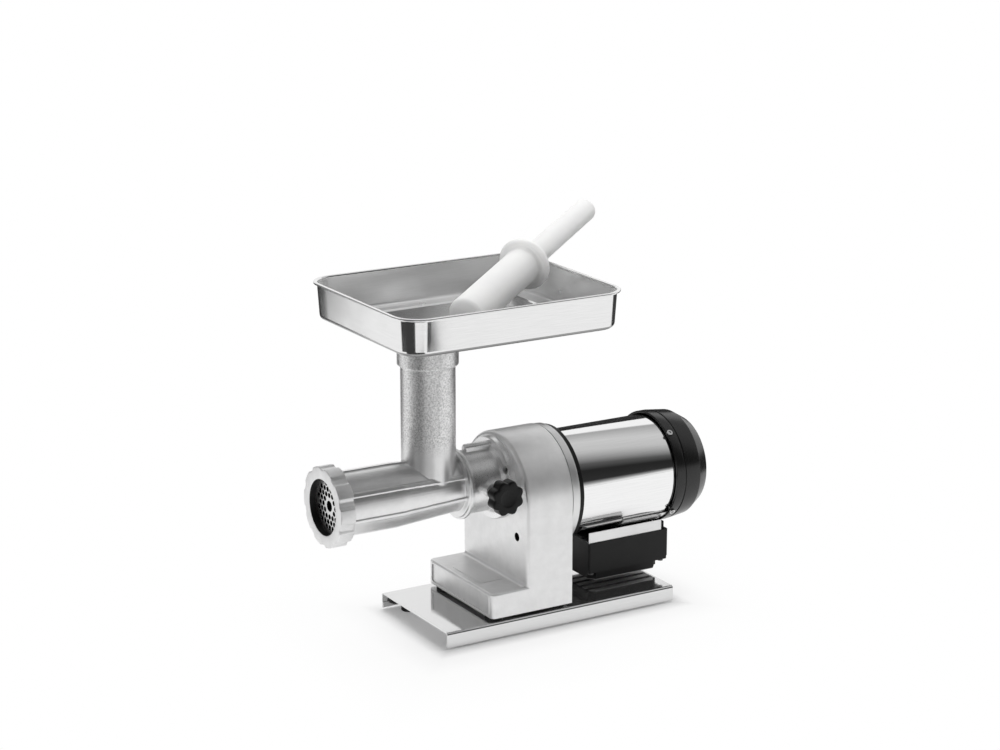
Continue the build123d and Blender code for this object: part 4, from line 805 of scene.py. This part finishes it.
# raised bead round the toe's bare front panel, and the fillet where the toe meets the arch
toe = {"depth": 48.0, "height": 29.8, "corner": 6.0, "rim": 2.6, "panelCorner": 4.0, "bead": 1.1,
       "beadRise": 0.66, "fillet": 4.5, "sink": 0.3, "roundSteps": 10, "beadSteps": 12, "filletSteps": 8}


def makeToeBead():
    low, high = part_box("gear_housing")
    c = {key: value * mm for key, value in toe.items()}
    half = ((high[1] - low[1]) / 2 - c["corner"] - c["rim"] / 2, c["height"] / 2 - c["rim"])
    centre = Vector((low[0], (low[1] + high[1]) / 2, low[2] + c["height"] / 2))
    path = rounded([(half[0], half[1], c["panelCorner"]), (-half[0], half[1], c["panelCorner"]),
                    (-half[0], -half[1], c["panelCorner"]), (half[0], -half[1], c["panelCorner"])],
                   toe["roundSteps"])
    loops = []
    steps = toe["beadSteps"]
    for k in range(steps):
        a = 2 * math.pi * k / steps
        loop = []
        for i, point in enumerate(path):
            along = (path[(i + 1) % len(path)] - path[i - 1]).normalized()
            out = Vector((along.y, -along.x))
            spot = point + out * c["bead"] * math.cos(a)
            loop.append(centre + Vector((-c["beadRise"] * math.sin(a), spot.x, spot.y)))
        loops.append(loop)
    bm = bmesh.new()
    loft(bm, loops)
    return finishPiece("toe_panel_bead", bm, beadAluminium, "frame")


def makeToeFillet():
    low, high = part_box("gear_housing")
    c = {key: value * mm for key, value in toe.items()}
    face, top, r, sink = low[0] + c["depth"], low[2] + c["height"], c["fillet"], c["sink"]
    line = [(face + sink, top - sink), (face + sink, top + r)]
    steps = toe["filletSteps"]
    for k in range(steps + 1):
        a = math.pi / 2 * k / steps
        line.append((face - r + r * math.cos(a), top + r - r * math.sin(a)))
    line.append((face - r, top - sink))
    inset = c["corner"]
    loops = [[Vector((x, y, z)) for x, z in line] for y in (low[1] + inset, high[1] - inset)]
    bm = bmesh.new()
    rings = loft(bm, loops, False)
    bm.faces.new(rings[0])
    bm.faces.new(rings[-1])
    return finishPiece("toe_arch_fillet", bm, beadAluminium, "frame")


# carried-over solids: finish and a small broken edge
brokenEdge = {"segments": 2, "angle": 40}


def dress(finish, edge, *names):
    for name in names:
        piece = nodes[name]
        for holder in piece.material_slots:
            holder.material = finish
        if edge:
            weld = piece.modifiers.new("weld", "WELD")
            weld.merge_threshold = weldReach
            bevel = piece.modifiers.new("brokenEdge", "BEVEL")
            bevel.width = edge * mm
            bevel.segments = brokenEdge["segments"]
            bevel.limit_method = "ANGLE"
            bevel.angle_limit = math.radians(brokenEdge["angle"])
            shade = piece.modifiers.new("shading", "WEIGHTED_NORMAL")
            shade.keep_sharp = False


makeMotorTube()
makeFanCover()
makeRingNut()
makeClampKnob()
makeTray()
makePusher()
makeHeadCasting()
makeToeBead()
makeToeFillet()
dress(baseSheet, 0.15, "base_plate")
dress(blastedAluminium, 0.9, "gear_housing")
dress(socketAluminium, 0.4, "head_socket")
dress(flangeAluminium, 0.3, "motor_flange", "rear_bell")
dress(plateAluminium, 0.1, "data_plate")
dress(tinnedAuger, 0, "auger")
dress(bladeSteel, 0.1, "knife")
dress(plateSteel, 0.1, "mincing_plate")
dress(gearSteel, 0, "output_gear", "output_shaft", "output_bearings", "layshaft", "layshaft_gear",
      "motor_bearings", "rotor_shaft", "motor_pinion", "plate_key")
dress(coreSteel, 0, "stator_core", "rotor_core")
dress(screwSteel, 0, "foot_studs", "housing_bolts", "socket_screws", "clamp_stud", "flange_screws",
      "fan_cover_screws")
dress(darkScrewSteel, 0, "lid_screws")
dress(bracketSheet, 0.2, "motor_bracket")
dress(saddleSheet, 0.2, "motor_saddle")
dress(windingCopper, 0, "stator_windings")
dress(bushBronze, 0, "layshaft_bushes", "thrust_washer")
dress(footRubber, 0, "rubber_feet", "housing_pads", "shaft_seal", "bracket_cushion")
dress(ringBlack, 0.2, "front_ring")
dress(boxBlack, 0.4, "switch_box", "switch_bezel", "rocker", "cable_gland")
dress(lidBlack, 0.3, "box_lid")
dress(innerBlack, 0, "cooling_fan", "capacitor", "terminal_block")
print("pieces made and solids dressed")


# floor, light and camera
view = {"target": (-9.39, -3.15, 291.26), "distance": 2921.87, "azimuth": -30.78, "elevation": 15.25,
        "lens": 90, "sensor": 36, "clip": (0.1, 60)}
# openings in the floor's paper, which polished walls mirror as dark: two angles from the camera's
# side and two radii in metres
floorPaper = {"gaps": ((-52, 18, 0.5, 1.03), (-72, -15, 1.03, 9.0), (32, 48, 0.95, 9.0),
                       (112, 180, 0.75, 9.0), (-150, -118, 0.75, 9.0)),
              "rings": (0.0, 0.25, 0.5, 0.75, 0.95, 1.03, 1.5, 2.5, 5.0, 9.0), "level": 0.9,
              "glow": ((0.0, 0.1), (0.02, 0.78), (0.06, 0.93), (0.18, 1.0))}   # metres from the base, share
# the room's grey at angles over the camera's side, a dark wall far to the left, the grey below the horizon
studioRoom = {"over": ((0, 1.0), (8, 0.35), (17, 0.03), (48, 0.02), (64, 0.1), (78, 0.35), (92, 0.58),
                       (112, 0.65), (134, 0.4), (137, 1.0)),
              "leftShade": 0.2, "leftTurn": -119, "leftRise": 18, "leftEdge": (0.84, 0.94),
              "under": 0.05, "horizon": (-0.03, 0.0)}
tubeFlag = {"x": (0.05, 0.5), "y": 0.3, "z": (0.2, 0.385)}   # metres
lamps = {"overhead_softbox": {"power": 48.0, "size": (2.4, 2.0), "place": (0.3, 0.5, 2.6),
                              "target": (0, 0, 0.15)},
         "side_fill": {"power": 12.0, "size": (1.2, 1.6), "place": (2.0, -1.4, 1.5),
                       "target": (0, 0, 0.2)},
         "front_fill": {"power": 28.0, "size": (1.4, 1.4), "place": (-2.1, -1.0, 0.7),
                        "target": (0, 0, 0.38)}}


def backVector():
    a, e = math.radians(view["azimuth"]), math.radians(view["elevation"])
    return Vector((math.sin(a) * math.cos(e), -math.cos(a) * math.cos(e), math.sin(e)))


def makeFloorPaper():  # white to the camera and in mirrors, but for the shade beside the base plate
    finish = bpy.data.materials.new("paleFloor")
    finish.use_nodes = True
    tree = finish.node_tree
    tree.nodes.clear()
    paper = tree.nodes.new("ShaderNodeBsdfDiffuse")
    paper.inputs["Color"].default_value = (*grey(floorPaper["level"]), 1)
    glow = tree.nodes.new("ShaderNodeEmission")
    rays = tree.nodes.new("ShaderNodeLightPath").outputs
    seen = mathStep(tree, "MAXIMUM", rays["Is Camera Ray"], rays["Is Glossy Ray"])
    seen = mathStep(tree, "MAXIMUM", seen, rays["Is Transmission Ray"])
    low, high = (Vector(corner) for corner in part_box("base_plate"))
    place = tree.nodes.new("ShaderNodeTexCoord").outputs["Object"]
    away = vectorStep(tree, "SUBTRACT", place, (low + high) / 2)
    away = vectorStep(tree, "SUBTRACT", vectorStep(tree, "ABSOLUTE", away), (high - low) / 2)
    sides = split(tree, away)
    away = mathStep(tree, "MAXIMUM", sides["X"], sides["Y"])
    fade = ramp(tree, away, [(reach, grey(share)) for reach, share in floorPaper["glow"]])
    mixed = tree.nodes.new("ShaderNodeMixShader")
    tree.links.new(mathStep(tree, "MULTIPLY", seen, fade), mixed.inputs["Fac"])
    tree.links.new(paper.outputs["BSDF"], mixed.inputs[1])
    tree.links.new(glow.outputs["Emission"], mixed.inputs[2])
    end = tree.nodes.new("ShaderNodeOutputMaterial")
    tree.links.new(mixed.outputs["Shader"], end.inputs["Surface"])
    return finish


def makeFloor():
    side = math.atan2(backVector().y, backVector().x)
    rings, gaps = floorPaper["rings"], floorPaper["gaps"]
    bm = bmesh.new()

    def spot(offset, reach):
        a = side + math.radians(offset)
        return bm.verts.new((reach * math.cos(a), reach * math.sin(a), 0))

    for turn in range(-180, 180):                         # one degree each
        for near, far in zip(rings, rings[1:]):
            if any(low <= turn + 0.5 <= high and start <= near < end for low, high, start, end in gaps):
                continue
            corners = [spot(turn, near)] if near == 0 else [spot(turn, near), spot(turn + 1, near)]
            bm.faces.new([spot(turn + 1, far), spot(turn, far)] + corners)
    bmesh.ops.remove_doubles(bm, verts=bm.verts, dist=weldReach)
    bmesh.ops.recalc_face_normals(bm, faces=bm.faces)
    mesh = bpy.data.meshes.new("studio_floor")
    bm.to_mesh(mesh)
    bm.free()
    mesh.materials.append(makeFloorPaper())
    floor = bpy.data.objects.new("studio_floor", mesh)
    scene.collection.objects.link(floor)


def makeRoom():
    world = bpy.data.worlds.new("studioRoom")
    scene.world = world
    world.use_nodes = True
    tree = world.node_tree
    tree.nodes.clear()
    c = studioRoom
    side = Vector((backVector().x, backVector().y, 0)).normalized()
    toward = tree.nodes.new("ShaderNodeTexCoord").outputs["Generated"]
    height = split(tree, toward)["Z"]
    over = mathStep(tree, "ARCTAN2", height, vectorStep(tree, "DOT_PRODUCT", toward, side))
    over = spread(tree, over, 0.0, 1.0, 0.0, math.pi)     # angle over the camera's side, through the zenith
    shades = ramp(tree, over, [(turn / 180, grey(level)) for turn, level in c["over"]])
    turn, rise = math.radians(c["leftTurn"]), math.radians(c["leftRise"])
    left = Matrix.Rotation(turn, 3, "Z") @ side * math.cos(rise) + Vector((0, 0, math.sin(rise)))
    wall = spread(tree, vectorStep(tree, "DOT_PRODUCT", toward, left), 1.0, c["leftShade"], *c["leftEdge"])
    shades = mixColours(tree, 1.0, shades, wall, "MULTIPLY")
    shades = mixColours(tree, spread(tree, height, 0.0, 1.0, *c["horizon"]), (*grey(c["under"]), 1), shades)
    room = tree.nodes.new("ShaderNodeBackground")
    tree.links.new(shades, room.inputs["Color"])
    white = tree.nodes.new("ShaderNodeBackground")
    white.inputs["Color"].default_value = (1, 1, 1, 1)
    mixed = tree.nodes.new("ShaderNodeMixShader")
    tree.links.new(tree.nodes.new("ShaderNodeLightPath").outputs["Is Camera Ray"], mixed.inputs["Fac"])
    tree.links.new(room.outputs["Background"], mixed.inputs[1])
    tree.links.new(white.outputs["Background"], mixed.inputs[2])
    end = tree.nodes.new("ShaderNodeOutputWorld")
    tree.links.new(mixed.outputs["Shader"], end.inputs["Surface"])


def addFlag():  # black card behind the motor, seen only as the dark line along the tube's top
    (x0, x1), y, (z0, z1) = tubeFlag["x"], tubeFlag["y"], tubeFlag["z"]
    mesh = bpy.data.meshes.new("tube_flag")
    mesh.from_pydata([(x0, y, z0), (x1, y, z0), (x1, y, z1), (x0, y, z1)], [], [(0, 1, 2, 3)])
    mesh.materials.append(innerBlack)
    card = bpy.data.objects.new("tube_flag", mesh)
    scene.collection.objects.link(card)
    card.visible_camera = card.visible_diffuse = card.visible_shadow = card.visible_transmission = False


def addLamp(name, c):
    lamp = bpy.data.lights.new(name, "AREA")
    lamp.shape = "RECTANGLE"
    lamp.size, lamp.size_y = c["size"]
    lamp.energy = c["power"]
    piece = bpy.data.objects.new(name, lamp)
    scene.collection.objects.link(piece)
    piece.location = c["place"]
    piece.visible_glossy = False                          # metal shows the room, not the lamps
    piece.rotation_euler = (Vector(c["target"]) - Vector(c["place"])).to_track_quat("-Z", "Y").to_euler()


def makeCamera():
    camera = bpy.data.objects.new("photo_camera", bpy.data.cameras.new("photo_camera"))
    scene.collection.objects.link(camera)
    camera.data.lens = view["lens"]
    camera.data.sensor_width = view["sensor"]
    back = backVector()
    camera.location = (Vector(view["target"]) + back * view["distance"]) * mm
    camera.rotation_mode = "QUATERNION"
    camera.rotation_quaternion = (-back).to_track_quat("-Z", "Y")
    camera.data.clip_start, camera.data.clip_end = view["clip"]
    scene.camera = camera


makeFloor()
makeRoom()
addFlag()
for name, lamp in lamps.items():
    addLamp(name, lamp)
makeCamera()
scene.view_settings.view_transform = "Standard"
